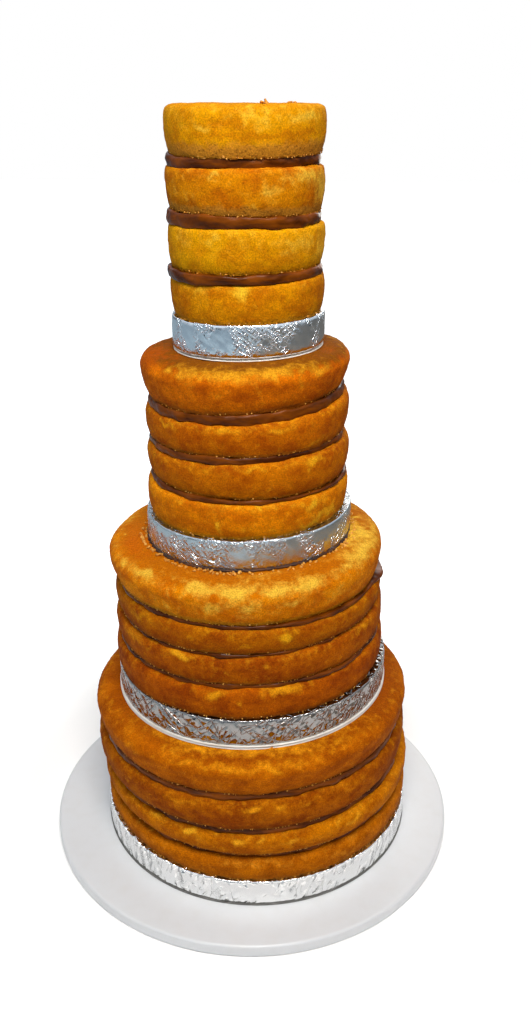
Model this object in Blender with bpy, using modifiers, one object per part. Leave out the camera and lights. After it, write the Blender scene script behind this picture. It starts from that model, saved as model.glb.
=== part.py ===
"""A four-tier Dominican cake, stacked and filled but not yet frosted, on its round board.

Each tier is four sponges with three layers of dulce de leche between them. It stands on a
foil-wrapped drum with a card under it, and the lowest card lies on a white cake board.
Metres, +Z up. The origin is on the table under the middle of the board.
"""

import math
import random
from typing import NamedTuple

import bpy

MM = 0.001

# Driving sizes, in millimetres

BOARD_DIAMETER = 406.4
BOARD_HEIGHT = 12.7
BOARD_ROUNDING = 3.0
DRUM_HEIGHT = 25.4
DRUM_ROUNDING = 2.0
GAP = 0.3

# How a sponge's lowest edge turns in, and the width and drop of its rounded shoulder: between
# layers, on a tier that carries another, and on the very top
SPONGE_FOOT_ROUNDING = 1.0
SHOULDER_BETWEEN = (4.0, 4.0)
SHOULDER_CARRYING = (17.0, 10.5)
SHOULDER_TOPMOST = (5.5, 5.5)

# A sponge narrows little down to this share of its height, by this share of its whole taper
GIRTH_HEIGHT_SHARE = 0.4
GIRTH_TAPER_SHARE = 0.3

# How far the round pieces stray from a true circle, and the radius within which that fades out
SPONGE_WAVE = 0.8
FILLING_WAVE = 0.9
WAVE_COUNTS = (2, 3, 4, 5, 7)
WAVE_FADE_RADIUS = 40.0

SPONGE_STEPS = 40
FILLING_STEPS = 36
DRUM_STEPS = 44
BOARD_STEPS = 64
MERGE_DISTANCE = 0.1
SHARP_ANGLE = 35.0

# How far the filling stands out past the edges that hold it
FILLING_BULGE = 2.2

# How far the whole stack stands in front of the board's middle
STACK_FORWARD = 2.0


class Tilt(NamedTuple):
    """The slope of a face: millimetres of rise for each millimetre to the right and to the back."""

    right: float
    back: float


class Sponge(NamedTuple):
    """One layer of cake: its widest diameter, how much smaller its foot's radius is, its height,
    its shift to the right, and its faces' tilts."""

    diameter: float
    taper: float
    height: float
    shift: float
    under: Tilt
    top: Tilt


class Bulge(NamedTuple):
    """A place where filling has been squeezed out: the angle from +X, how far, and how wide in degrees."""

    angle: float
    reach: float
    width: float


class Filling(NamedTuple):
    """One layer of dulce de leche: its diameter at the bulge, its height and its shift to the right."""

    diameter: float
    height: float
    shift: float
    bulges: tuple = ()


class Card(NamedTuple):
    """The card under a drum: its height, how far it stands out past the drum, and its finish."""

    height: float
    lip: float
    finish: str


class Tier(NamedTuple):
    """One tier, from its card up."""

    drum_diameter: float
    drum_shift: float
    card: Card
    sponges: tuple
    fillings: tuple


LEVEL = Tilt(0.0, 0.0)

# Each tier's layers from the bottom up. The soft stack leans a little to the left, so most
# faces rise to the right.
TIERS = (
    Tier(
        drum_diameter=307.4,
        drum_shift=4.6,
        card=Card(height=1.0, lip=0.8, finish="grey_card"),
        sponges=(
            Sponge(303.0, 1.0, 25.0, 4.6, LEVEL, Tilt(0.015, 0.020)),
            Sponge(304.6, 2.0, 23.9, 3.9, Tilt(0.015, 0.020), Tilt(0.020, 0.020)),
            Sponge(305.2, 2.0, 30.1, -0.6, Tilt(0.020, 0.020), Tilt(0.020, 0.010)),
            Sponge(303.0, 2.5, 33.8, -1.6, Tilt(0.020, 0.010), Tilt(0.028, -0.005)),
        ),
        fillings=(
            Filling(297.0, 5.2, 4.6),
            Filling(300.0, 5.8, 2.0),
            Filling(300.0, 6.1, -1.0),
        ),
    ),
    Tier(
        drum_diameter=259.6,
        drum_shift=-0.3,
        card=Card(height=3.0, lip=1.4, finish="white_card"),
        sponges=(
            Sponge(255.4, 1.5, 29.9, -3.0, Tilt(0.028, -0.005), Tilt(0.030, 0.0)),
            Sponge(253.0, 1.5, 28.4, -3.4, Tilt(0.025, 0.0), Tilt(0.040, 0.010)),
            Sponge(250.0, 1.0, 23.1, -4.2, Tilt(0.030, 0.010), Tilt(0.010, 0.0)),
            Sponge(251.5, 3.5, 36.1, -7.0, Tilt(0.004, 0.0), Tilt(0.040, -0.005)),
        ),
        fillings=(
            Filling(250.0, 3.8, -3.2, (Bulge(-50.0, 2.0, 12.0),)),
            Filling(247.0, 2.5, -3.8),
            Filling(247.0, 3.2, -4.5, (Bulge(-6.0, 5.0, 9.0),)),
        ),
    ),
    Tier(
        drum_diameter=187.0,
        drum_shift=-3.4,
        card=Card(height=1.8, lip=0.8, finish="dark_card"),
        sponges=(
            Sponge(180.4, 2.0, 31.5, -4.4, Tilt(0.040, -0.005), Tilt(0.022, 0.0)),
            Sponge(179.4, 3.0, 31.2, -4.2, Tilt(0.010, 0.0), Tilt(0.040, -0.010)),
            Sponge(177.6, 2.0, 31.7, -4.8, Tilt(0.035, -0.010), Tilt(0.062, 0.030)),
            Sponge(179.0, 5.0, 35.0, -7.1, Tilt(0.065, 0.030), Tilt(0.032, -0.010)),
        ),
        fillings=(
            Filling(176.0, 3.7, -3.9),
            Filling(173.2, 5.2, -6.0, (Bulge(-20.0, 1.8, 9.0),)),
            Filling(171.5, 7.5, -5.8),
        ),
    ),
    Tier(
        drum_diameter=129.8,
        drum_shift=-3.8,
        card=Card(height=3.0, lip=-0.4, finish="white_card"),
        sponges=(
            Sponge(129.0, 2.0, 32.7, -4.3, Tilt(0.032, -0.010), Tilt(0.030, 0.0)),
            Sponge(128.8, 2.2, 35.0, -5.7, Tilt(0.020, 0.0), Tilt(0.005, 0.0)),
            Sponge(128.2, 2.4, 34.9, -6.4, Tilt(-0.010, 0.0), Tilt(0.010, 0.0)),
            Sponge(127.6, 2.2, 35.6, -6.3, Tilt(0.015, 0.030), Tilt(0.007, 0.0)),
        ),
        fillings=(
            Filling(129.0, 6.3, -6.5),
            Filling(126.2, 8.6, -6.8),
            Filling(124.2, 8.7, -8.3),
        ),
    ),
)
TOP_TIER = len(TIERS)

# Finish name: sRGB colour, roughness, metallic
FINISHES = {
    "gold_sponge": ((0.83, 0.56, 0.10), 0.85, 0.0),
    "amber_sponge": ((0.70, 0.38, 0.06), 0.85, 0.0),
    "dulce_de_leche": ((0.36, 0.17, 0.05), 0.25, 0.0),
    "crinkled_foil": ((0.80, 0.82, 0.85), 0.25, 1.0),
    "white_card": ((0.90, 0.89, 0.87), 0.80, 0.0),
    "dark_card": ((0.16, 0.10, 0.07), 0.80, 0.0),
    "grey_card": ((0.34, 0.34, 0.33), 0.70, 0.0),
    "white_board": ((0.90, 0.90, 0.92), 0.35, 0.0),
}


def clear_scene():
    """Take away whatever the file holds already."""
    for obj in list(bpy.data.objects):
        bpy.data.objects.remove(obj, do_unlink=True)


def linear(channel):
    """An sRGB channel as a linear one."""
    return channel / 12.92 if channel <= 0.04045 else ((channel + 0.055) / 1.055) ** 2.4


def finish(name):
    """The material of this name, made once."""
    found = bpy.data.materials.get(name)
    if found:
        return found
    colour, roughness, metallic = FINISHES[name]
    material = bpy.data.materials.new(name)
    material.use_nodes = True
    shader = material.node_tree.nodes["Principled BSDF"]
    shader.inputs["Base Color"].default_value = (*map(linear, colour), 1.0)
    shader.inputs["Roughness"].default_value = roughness
    shader.inputs["Metallic"].default_value = metallic
    return material


def arc(centre, width, height, start, end, points):
    """Points on a rounded corner of this width and height in a profile, with its angles in
    degrees from outwards to upwards."""
    for step in range(points):
        angle = math.radians(start + (end - start) * step / (points - 1))
        yield centre[0] + width * math.cos(angle), centre[1] + height * math.sin(angle)


def turn(name, profile, steps, collection):
    """An object turned about Z from a profile that runs from the axis above, down its outer side."""
    mesh = bpy.data.meshes.new(name)
    mesh.from_pydata(
        [(radius * MM, 0.0, height * MM) for radius, height in profile],
        [(i, i + 1) for i in range(len(profile) - 1)],
        [],
    )
    obj = bpy.data.objects.new(name, mesh)
    collection.objects.link(obj)
    screw = obj.modifiers.new("Turn", "SCREW")
    screw.steps = steps
    screw.render_steps = steps
    screw.use_merge_vertices = True
    screw.merge_threshold = MERGE_DISTANCE * MM
    graph = bpy.context.evaluated_depsgraph_get()
    turned = bpy.data.meshes.new_from_object(obj.evaluated_get(graph))
    turned.name = name
    obj.modifiers.clear()
    obj.data = turned
    bpy.data.meshes.remove(mesh)
    return obj


def wave(seed, size):
    """How far, in millimetres, an edge strays from its circle, as a function of the angle."""
    draw = random.Random(seed)
    parts = [(count, draw.uniform(0.4, 1.0) / count, draw.uniform(0.0, math.tau)) for count in WAVE_COUNTS]
    whole = sum(share for _, share, _ in parts)

    def offset(angle):
        return size * sum(share * math.cos(count * angle + turn) for count, share, turn in parts) / whole

    return offset


def squeezed(bulges, angle):
    """How far, in millimetres, the bulges push a filling's edge out at this angle."""
    total = 0.0
    for bulge in bulges:
        away = math.remainder(angle - math.radians(bulge.angle), math.tau) / math.radians(bulge.width)
        total += bulge.reach * math.exp(-away * away)
    return total


def settle(obj, height, foot, shift, under, top, stray):
    """Move a turned piece to its place, and lay its lower and upper faces at their tilts.

    The turned mesh stands on z = 0 and is height tall. foot is the height of its lower face on
    the cake's axis, and stray gives how far its edge leaves the circle, from the angle and from
    how far up the piece a point is.
    """
    for vertex in obj.data.vertices:
        x, y, z = (value / MM for value in vertex.co)
        up = z / height
        angle = math.atan2(y, x)
        stretch = 1.0 + stray(angle, up) / max(math.hypot(x, y), WAVE_FADE_RADIUS)
        x *= stretch
        y *= stretch
        low = under.right * (x + shift) + under.back * y
        high = top.right * (x + shift) + top.back * y
        vertex.co = (x * MM, y * MM, (z + low * (1.0 - up) + high * up) * MM)
    obj.location = (shift * MM, -STACK_FORWARD * MM, foot * MM)


def dress(obj, material, parent):
    """Give a finished piece its material, smooth shading and parent."""
    obj.data.materials.clear()
    obj.data.materials.append(material)
    obj.data.shade_smooth()
    obj.data.set_sharp_from_angle(angle=math.radians(SHARP_ANGLE))
    obj.parent = parent


def rounded_disc(radius, height, rounding, corner_points):
    """The profile of a disc whose edge is rounded above and below."""
    yield 0.0, height
    middle = radius - rounding
    yield from arc((middle, height - rounding), rounding, rounding, 90.0, 0.0, corner_points)
    yield from arc((middle, rounding), rounding, rounding, 0.0, -90.0, corner_points)
    yield 0.0, 0.0


def sponge_profile(sponge, shoulder):
    """A sponge's section: a rounded shoulder, its widest girth below it, and a narrower foot."""
    radius, height = 0.5 * sponge.diameter, sponge.height
    width, drop = shoulder
    yield 0.0, height
    yield from arc((radius - width, height - drop), width, drop, 90.0, 0.0, 3)
    yield radius - GIRTH_TAPER_SHARE * sponge.taper, GIRTH_HEIGHT_SHARE * height
    yield radius - sponge.taper, SPONGE_FOOT_ROUNDING
    yield radius - sponge.taper - SPONGE_FOOT_ROUNDING, 0.0
    yield 0.0, 0.0


def filling_profile(radius, height):
    """A filling's section: flat faces and one bulge between them."""
    yield 0.0, height
    yield radius - FILLING_BULGE, height
    yield radius, 0.5 * height
    yield radius - FILLING_BULGE, 0.0
    yield 0.0, 0.0


def make_board(collection, parent):
    """The round white cake board."""
    profile = list(rounded_disc(0.5 * BOARD_DIAMETER, BOARD_HEIGHT, BOARD_ROUNDING, 3))
    board = turn("cake_board", profile, BOARD_STEPS, collection)
    dress(board, finish("white_board"), parent)


def true_circle(_angle, _up):
    """The stray of a piece that is cut round."""
    return 0.0


def make_card(name, tier, foot, tilt, collection, parent):
    """The card under a drum."""
    radius = 0.5 * tier.drum_diameter + tier.card.lip
    height = tier.card.height
    card = turn(name, [(0.0, height), (radius, height), (radius, 0.0), (0.0, 0.0)], DRUM_STEPS, collection)
    settle(card, height, foot, tier.drum_shift, tilt, tilt, true_circle)
    dress(card, finish(tier.card.finish), parent)


def make_drum(name, tier, foot, tilt, collection, parent):
    """The foil-wrapped drum that a tier stands on."""
    profile = list(rounded_disc(0.5 * tier.drum_diameter, DRUM_HEIGHT, DRUM_ROUNDING, 2))
    drum = turn(name, profile, DRUM_STEPS, collection)
    settle(drum, DRUM_HEIGHT, foot, tier.drum_shift, tilt, tilt, true_circle)
    dress(drum, finish("crinkled_foil"), parent)


def make_sponge(name, sponge, foot, shoulder, material, collection, parent):
    """One layer of sponge."""
    obj = turn(name, list(sponge_profile(sponge, shoulder)), SPONGE_STEPS, collection)
    below = wave(name + " foot", SPONGE_WAVE)
    above = wave(name + " shoulder", SPONGE_WAVE)

    def stray(angle, up):
        return below(angle) * (1.0 - up) + above(angle) * up

    settle(obj, sponge.height, foot, sponge.shift, sponge.under, sponge.top, stray)
    dress(obj, material, parent)


def make_filling(name, filling, foot, under, top, collection, parent):
    """One layer of dulce de leche, between the faces of the sponges that hold it."""
    height = filling.height - 2.0 * GAP
    profile = list(filling_profile(0.5 * filling.diameter, height))
    obj = turn(name, profile, FILLING_STEPS, collection)
    edge = wave(name, FILLING_WAVE)

    def stray(angle, _up):
        return edge(angle) + squeezed(filling.bulges, angle)

    settle(obj, height, foot + GAP, filling.shift, under, top, stray)
    dress(obj, finish("dulce_de_leche"), parent)


def make_tier(number, tier, foot, collection, parent):
    """All the pieces of one tier. It returns the height of its top face on the cake's axis."""
    label = f"tier{number}"
    tilt = tier.sponges[0].under
    foot += GAP
    make_card(f"{label}_card", tier, foot, tilt, collection, parent)
    foot += tier.card.height + GAP
    make_drum(f"{label}_drum", tier, foot, tilt, collection, parent)
    foot += DRUM_HEIGHT + GAP
    material = finish("gold_sponge" if number == TOP_TIER else "amber_sponge")
    last = len(tier.sponges)
    uppermost = SHOULDER_TOPMOST if number == TOP_TIER else SHOULDER_CARRYING
    for layer, sponge in enumerate(tier.sponges, 1):
        shoulder = uppermost if layer == last else SHOULDER_BETWEEN
        make_sponge(f"{label}_sponge{layer}", sponge, foot, shoulder, material, collection, parent)
        foot += sponge.height
        if layer < last:
            filling = tier.fillings[layer - 1]
            above = tier.sponges[layer]
            name = f"{label}_filling{layer}"
            make_filling(name, filling, foot, sponge.top, above.under, collection, parent)
            foot += filling.height
    return foot


def main():
    """Build the board and the four tiers on it."""
    clear_scene()
    collection = bpy.data.collections.new("dominican_cake")
    bpy.context.scene.collection.children.link(collection)
    stand = bpy.data.objects.new("cake", None)
    collection.objects.link(stand)
    make_board(collection, stand)
    foot = BOARD_HEIGHT
    for number, tier in enumerate(TIERS, 1):
        foot = make_tier(number, tier, foot, collection, stand)


main()
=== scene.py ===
"""The looks of an unfrosted four-tier Dominican cake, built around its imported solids.

Each baked sponge, each layer of dulce de leche, each foil-wrapped drum, the cake cards and
the board are made again as fine meshes on the forms of their solids, and dressed.
"""

import logging
import math
from dataclasses import dataclass, field
from enum import Enum
from typing import Any, Iterable

import bmesh
import bpy
import numpy as np
from mathutils import Matrix, Vector

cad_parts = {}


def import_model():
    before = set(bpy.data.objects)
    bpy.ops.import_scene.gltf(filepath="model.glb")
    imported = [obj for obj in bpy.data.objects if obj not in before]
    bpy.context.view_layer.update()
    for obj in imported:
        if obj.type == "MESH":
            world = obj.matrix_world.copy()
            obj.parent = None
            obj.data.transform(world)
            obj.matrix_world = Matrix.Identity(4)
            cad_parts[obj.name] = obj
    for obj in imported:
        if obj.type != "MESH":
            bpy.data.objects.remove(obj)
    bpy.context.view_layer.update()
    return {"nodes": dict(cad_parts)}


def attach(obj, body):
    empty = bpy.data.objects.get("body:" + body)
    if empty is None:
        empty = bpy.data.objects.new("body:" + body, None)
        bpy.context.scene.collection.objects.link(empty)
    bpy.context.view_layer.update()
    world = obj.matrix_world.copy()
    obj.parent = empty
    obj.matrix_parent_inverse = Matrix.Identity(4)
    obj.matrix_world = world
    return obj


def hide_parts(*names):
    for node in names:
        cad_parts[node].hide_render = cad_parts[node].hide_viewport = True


MM = 0.001
BODY = "root"
LOG = logging.getLogger("dominican_cake")
Socket = bpy.types.NodeSocket

# Fixed seeds, so that every run gives the same cake
SPONGE_SEED, CARAMEL_SEED, FOIL_SEED, CRUMB_SEED = 4.0, 2.0, 1.5, 3.0
CRUMB_SPOT_SEED, CRUMB_TURN_SEED, CRUMB_SIZE_SEED, TORN_SEED = 7, 3, 5, 5

# The share of a solid's columns that must have a point on each of its rings
LEAST_WHOLE_COLUMNS = 0.8

# A point this close to its solid's axis belongs to no ring
AXIS_REACH_MM = 1.0

# How close to the axis the innermost ring of a face lies, as a share of the face's radius
POLE_SHARE = 0.03

# How many rings carry a face that doesn't show in towards the axis
HIDDEN_RINGS = 3


def linear(hex_colour: str) -> tuple[float, float, float, float]:
    """Turn an sRGB hex colour to the linear values that a shader takes.

    Args:
        hex_colour: Six hex digits, such as "da9604".

    Returns:
        Linear red, green and blue, and an alpha of one.
    """
    channels = [int(hex_colour[i : i + 2], 16) / 255.0 for i in (0, 2, 4)]
    return (*(c / 12.92 if c <= 0.04045 else ((c + 0.055) / 1.055) ** 2.4 for c in channels), 1.0)


def add_node(
    tree: bpy.types.NodeTree,
    kind: str,
    links: dict[Any, Socket] | None = None,
    values: dict[Any, Any] | None = None,
    **settings: Any,
) -> bpy.types.Node:
    """Add one node with its settings, its constant inputs and its links.

    Args:
        tree: The node tree that gets the node.
        kind: The node's type name.
        links: The output that feeds each linked input, by the input's name or index.
        values: The constant of each unlinked input, by the input's name or index.
        **settings: The node's own properties.

    Returns:
        The new node.
    """
    node = tree.nodes.new(kind)
    for name, value in settings.items():
        setattr(node, name, value)
    for socket, value in (values or {}).items():
        node.inputs[socket].default_value = value
    for socket, source in (links or {}).items():
        tree.links.new(source, node.inputs[socket])
    return node


def total_of(tree: bpy.types.NodeTree, parts: Iterable[Socket]) -> Socket:
    """Add numbers up by a chain of nodes.

    Args:
        tree: The node tree that gets the chain.
        parts: The sockets that hold the numbers.

    Returns:
        The socket that holds their sum.
    """
    total, *others = parts
    for other in others:
        total = add_node(tree, "ShaderNodeMath", {0: total, 1: other}, operation="ADD").outputs["Value"]
    return total


def new_material(name: str) -> tuple[bpy.types.Material, bpy.types.NodeTree, bpy.types.Node]:
    """Make an empty node material.

    Args:
        name: The real material's plain name.

    Returns:
        The material, its node tree and its Principled shader.
    """
    material = bpy.data.materials.new(name)
    material.use_nodes = True
    tree = material.node_tree
    return material, tree, tree.nodes["Principled BSDF"]


@dataclass(frozen=True)
class SpongeFinish:
    """Baked sponge: a matt open crumb under a thin browned skin that has come away in patches.

    To the eye it is soft and dry, gold to amber with deeper blotches where the skin is left,
    clear yellow where it is rubbed off, and tan and crumbly along the foot. The foot and the
    pores are darkened as painted shade, and some patches are painted light and painted shade.
    """

    name: str
    crumb: str
    skin: str
    pale: str
    foot: str
    crust: str
    # The colour of the pores: a painted shade in the holes of the crumb
    pit: str = "5a2a06"
    blotch_mm: float = 24.0
    mottle_mm: float = 6.5
    grain_mm: float = 1.2
    pore_mm: float = 2.8
    foot_mm: float = 6.0
    relief_mm: float = 0.8
    roughness: float = 0.85
    ior: float = 1.4
    gloss: float = 0.08

    def material(self) -> bpy.types.Material:
        """Build the sponge's shader.

        Returns:
            The finished material, which reads the attributes from_foot, patch and crust.
        """
        material, tree, shader = new_material(self.name)
        place = add_node(tree, "ShaderNodeTexCoord").outputs["Object"]
        lying = add_node(tree, "ShaderNodeMapping", {"Vector": place}, {"Scale": (1.0, 1.0, 1.5)})
        blotch, mottle, grain = (
            add_node(
                tree, "ShaderNodeTexNoise", {"Vector": vector},
                {"Scale": 1.0 / (size * MM), "Detail": detail, "Roughness": 0.65},
            ).outputs["Fac"]
            for vector, size, detail in (
                (lying.outputs["Vector"], self.blotch_mm, 5.0), (place, self.mottle_mm, 5.0),
                (place, self.grain_mm, 3.0),
            )
        )
        foot_height, patch, crust = (
            add_node(tree, "ShaderNodeAttribute", attribute_name=name).outputs["Fac"]
            for name in ("from_foot", "patch", "crust")
        )
        swing = add_node(
            tree, "ShaderNodeMapRange", {"Value": mottle},
            {"From Min": 0.25, "From Max": 0.75, "To Min": -0.5, "To Max": 0.5},
        ).outputs["Result"]
        # The patches carry real blotches and, on the top sponges, painted light and painted shade
        wear_and_painted_light = add_node(tree, "ShaderNodeMath", {0: patch, 1: swing}, operation="ADD").outputs["Value"]
        foot = self.foot_mm * MM
        top, hem = (
            add_node(
                tree, "ShaderNodeMath", {0: noise, 2: base}, {1: sway}, operation="MULTIPLY_ADD",
            ).outputs["Value"]
            for noise, base, sway in ((swing, crust, 0.6), (mottle, foot_height, -foot))
        )
        # What lies on the crumb: skin, crust, browner patches, paler patches and the foot. Some patches
        # are painted light and shade, and the foot's darker colour is partly painted shade
        covers = [
            add_node(
                tree, "ShaderNodeMapRange", {"Value": value},
                {"From Min": start, "From Max": end, "To Max": most}, interpolation_type="SMOOTHSTEP",
            ).outputs["Result"]
            for value, start, end, most in (
                (blotch, 0.34, 0.66, 1.0), (top, 0.15, 0.75, 1.0), (wear_and_painted_light, -0.1, -0.9, 0.9),
                (wear_and_painted_light, 0.0, 1.1, 0.85), (hem, 0.35 * foot, -0.05 * foot, 0.9),
            )
        ]
        # Pores: dark pits painted as shade in the holes, darker towards the foot
        pores = add_node(
            tree, "ShaderNodeTexVoronoi", {"Vector": place}, {"Scale": 1.0 / (self.pore_mm * MM)},
        )
        near_foot = add_node(
            tree, "ShaderNodeMapRange", {"Value": covers[-1]}, {"To Min": 0.12, "To Max": 0.6},
        )
        hole = add_node(
            tree, "ShaderNodeMapRange",
            {"Value": pores.outputs["Distance"], "To Min": near_foot.outputs["Result"]},
            {"From Min": 0.14, "From Max": 0.32, "To Max": 0.0},
        ).outputs["Result"]
        colour = None
        for cover, shade in zip(covers, (self.skin, self.crust, self.skin, self.pale, self.foot)):
            under = {"A": colour} if colour else {}
            base = {} if colour else {"A": linear(self.crumb)}
            coat = add_node(
                tree, "ShaderNodeMix", {"Factor": cover, **under}, {**base, "B": linear(shade)},
                data_type="RGBA",
            )
            colour = coat.outputs["Result"]
        # Grain and mottle vary the tone at random; the last darkens the side towards the foot, a painted
        # shade
        shades = [
            add_node(
                tree, "ShaderNodeMapRange", {"Value": value},
                {"From Min": start, "From Max": end, "To Min": dark, "To Max": light},
            ).outputs["Result"]
            for value, start, end, dark, light in (
                (grain, 0.3, 0.7, 0.62, 1.36), (mottle, 0.3, 0.7, 0.91, 1.08),
                (foot_height, 0.0, 0.014, 0.8, 1.03),
            )
        ]
        for shade in shades:
            coat = add_node(
                tree, "ShaderNodeMix", {"A": colour, "B": shade}, {"Factor": 1.0}, data_type="RGBA",
                blend_type="MULTIPLY",
            )
            colour = coat.outputs["Result"]
        pored = add_node(
            tree, "ShaderNodeMix", {"Factor": hole, "A": colour}, {"B": linear(self.pit)}, data_type="RGBA",
        )
        tree.links.new(pored.outputs["Result"], shader.inputs["Base Color"])
        relief = add_node(tree, "ShaderNodeMath", {0: grain, 1: hole}, operation="SUBTRACT")
        bump = add_node(
            tree, "ShaderNodeBump", {"Height": relief.outputs["Value"]},
            {"Strength": 0.6, "Distance": self.relief_mm * MM},
        )
        tree.links.new(bump.outputs["Normal"], shader.inputs["Normal"])
        shader.inputs["Roughness"].default_value = self.roughness
        shader.inputs["IOR"].default_value = self.ior
        shader.inputs["Specular IOR Level"].default_value = self.gloss
        return material


@dataclass(frozen=True)
class CaramelFinish:
    """Dulce de leche: boiled milk caramel, thick enough to stand where it was spread.

    It looks wet and dense, dark brown in the mass and amber where it is thin, with soft
    highlights along its folds.
    """

    name: str = "dulce de leche"
    deep: str = "421a00"
    thin: str = "7a3c02"
    streak_mm: float = 30.0
    roughness: float = 0.24
    ior: float = 1.47
    gloss: float = 0.13

    def material(self) -> bpy.types.Material:
        """Build the caramel's shader.

        Returns:
            The finished material.
        """
        material, tree, shader = new_material(self.name)
        place = add_node(tree, "ShaderNodeTexCoord").outputs["Object"]
        drawn = add_node(tree, "ShaderNodeMapping", {"Vector": place}, {"Scale": (1.0, 1.0, 4.0)})
        streaks = add_node(
            tree, "ShaderNodeTexNoise", {"Vector": drawn.outputs["Vector"]},
            {"Scale": 1.0 / (self.streak_mm * MM), "Detail": 4.0, "Distortion": 0.3},
        )
        thin = add_node(
            tree, "ShaderNodeMapRange", {"Value": streaks.outputs["Fac"]},
            {"From Min": 0.34, "From Max": 0.7}, interpolation_type="SMOOTHSTEP",
        )
        colour = add_node(
            tree, "ShaderNodeMix", {"Factor": thin.outputs["Result"]},
            {"A": linear(self.deep), "B": linear(self.thin)}, data_type="RGBA",
        )
        tree.links.new(colour.outputs["Result"], shader.inputs["Base Color"])
        dull = add_node(
            tree, "ShaderNodeMapRange", {"Value": streaks.outputs["Fac"]},
            {"From Min": 0.3, "From Max": 0.7, "To Min": self.roughness, "To Max": self.roughness + 0.15},
        )
        tree.links.new(dull.outputs["Result"], shader.inputs["Roughness"])
        bump = add_node(
            tree, "ShaderNodeBump", {"Height": streaks.outputs["Fac"]},
            {"Strength": 0.12, "Distance": 1.0 * MM},
        )
        tree.links.new(bump.outputs["Normal"], shader.inputs["Normal"])
        shader.inputs["IOR"].default_value = self.ior
        shader.inputs["Specular IOR Level"].default_value = self.gloss
        return material


@dataclass(frozen=True)
class FoilFinish:
    """Kitchen foil: rolled aluminium 0.016 mm thick, smoothed round a drum and creased in places.

    It is a soft mirror broken by sharp creases, so it shows white, dark grey and the orange of
    the cake side by side.
    """

    name: str
    colour: str
    roughness: float
    crinkles: tuple[tuple[float, float, float], ...]
    lean: float
    ridge_mm: tuple[float, float]

    def material(self) -> bpy.types.Material:
        """Build the foil's shader.

        Each crinkle is a net of creases, with its size in mm, its slant in degrees and how many
        times longer than wide its cells are. A cell's sides lean, and a narrow ridge parts it
        from the next, but only where a noise lets it rise, so that no net shows whole.

        Returns:
            The finished material, which reads the attributes crumpled, around and up.
        """
        material, tree, shader = new_material(self.name)
        crumpled, around, up = (
            add_node(tree, "ShaderNodeAttribute", attribute_name=name).outputs["Fac"]
            for name in ("crumpled", "around", "up")
        )
        unrolled = add_node(tree, "ShaderNodeCombineXYZ", {"X": around, "Y": up}).outputs["Vector"]
        width, rise = self.ridge_mm
        roofs = []
        for size, slant, stretch in self.crinkles:
            turned = add_node(
                tree, "ShaderNodeVectorRotate", {"Vector": unrolled}, {"Angle": math.radians(slant)},
                rotation_type="Z_AXIS",
            )
            drawn = add_node(
                tree, "ShaderNodeVectorMath", {0: turned.outputs["Vector"]}, {1: (1.0, stretch, 1.0)},
                operation="MULTIPLY",
            )
            cells = add_node(
                tree, "ShaderNodeTexVoronoi", {"Vector": drawn.outputs["Vector"]},
                {"Scale": 1.0 / (size * MM)}, feature="DISTANCE_TO_EDGE", voronoi_dimensions="2D",
            )
            breaks = add_node(
                tree, "ShaderNodeTexNoise", {"Vector": drawn.outputs["Vector"]},
                {"Scale": 0.9 / (size * MM), "Detail": 1.0}, noise_dimensions="2D",
            )
            kept = add_node(
                tree, "ShaderNodeMapRange", {"Value": breaks.outputs["Fac"]},
                {"From Min": 0.42, "From Max": 0.58, "To Max": rise},
            )
            ridge = add_node(
                tree, "ShaderNodeMapRange",
                {"Value": cells.outputs["Distance"], "To Min": kept.outputs["Result"]},
                {"From Max": width / size, "To Max": 0.0}, interpolation_type="SMOOTHSTEP",
            ).outputs["Result"]
            roof = add_node(
                tree, "ShaderNodeMath", {0: cells.outputs["Distance"], 2: ridge}, {1: size * self.lean},
                operation="MULTIPLY_ADD",
            )
            roofs.append(roof.outputs["Value"])
        strength = add_node(
            tree, "ShaderNodeMapRange", {"Value": crumpled}, {"To Min": 0.1, "To Max": 1.0},
        )
        bump = add_node(
            tree, "ShaderNodeBump",
            {"Height": total_of(tree, roofs), "Strength": strength.outputs["Result"]},
            {"Distance": 1.0 * MM},
        )
        tree.links.new(bump.outputs["Normal"], shader.inputs["Normal"])
        haze = add_node(
            tree, "ShaderNodeMapRange", {"Value": crumpled},
            {"To Min": self.roughness + 0.04, "To Max": self.roughness - 0.04},
        )
        tree.links.new(haze.outputs["Result"], shader.inputs["Roughness"])
        shader.inputs["Base Color"].default_value = linear(self.colour)
        shader.inputs["Metallic"].default_value = 1.0
        return material


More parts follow.
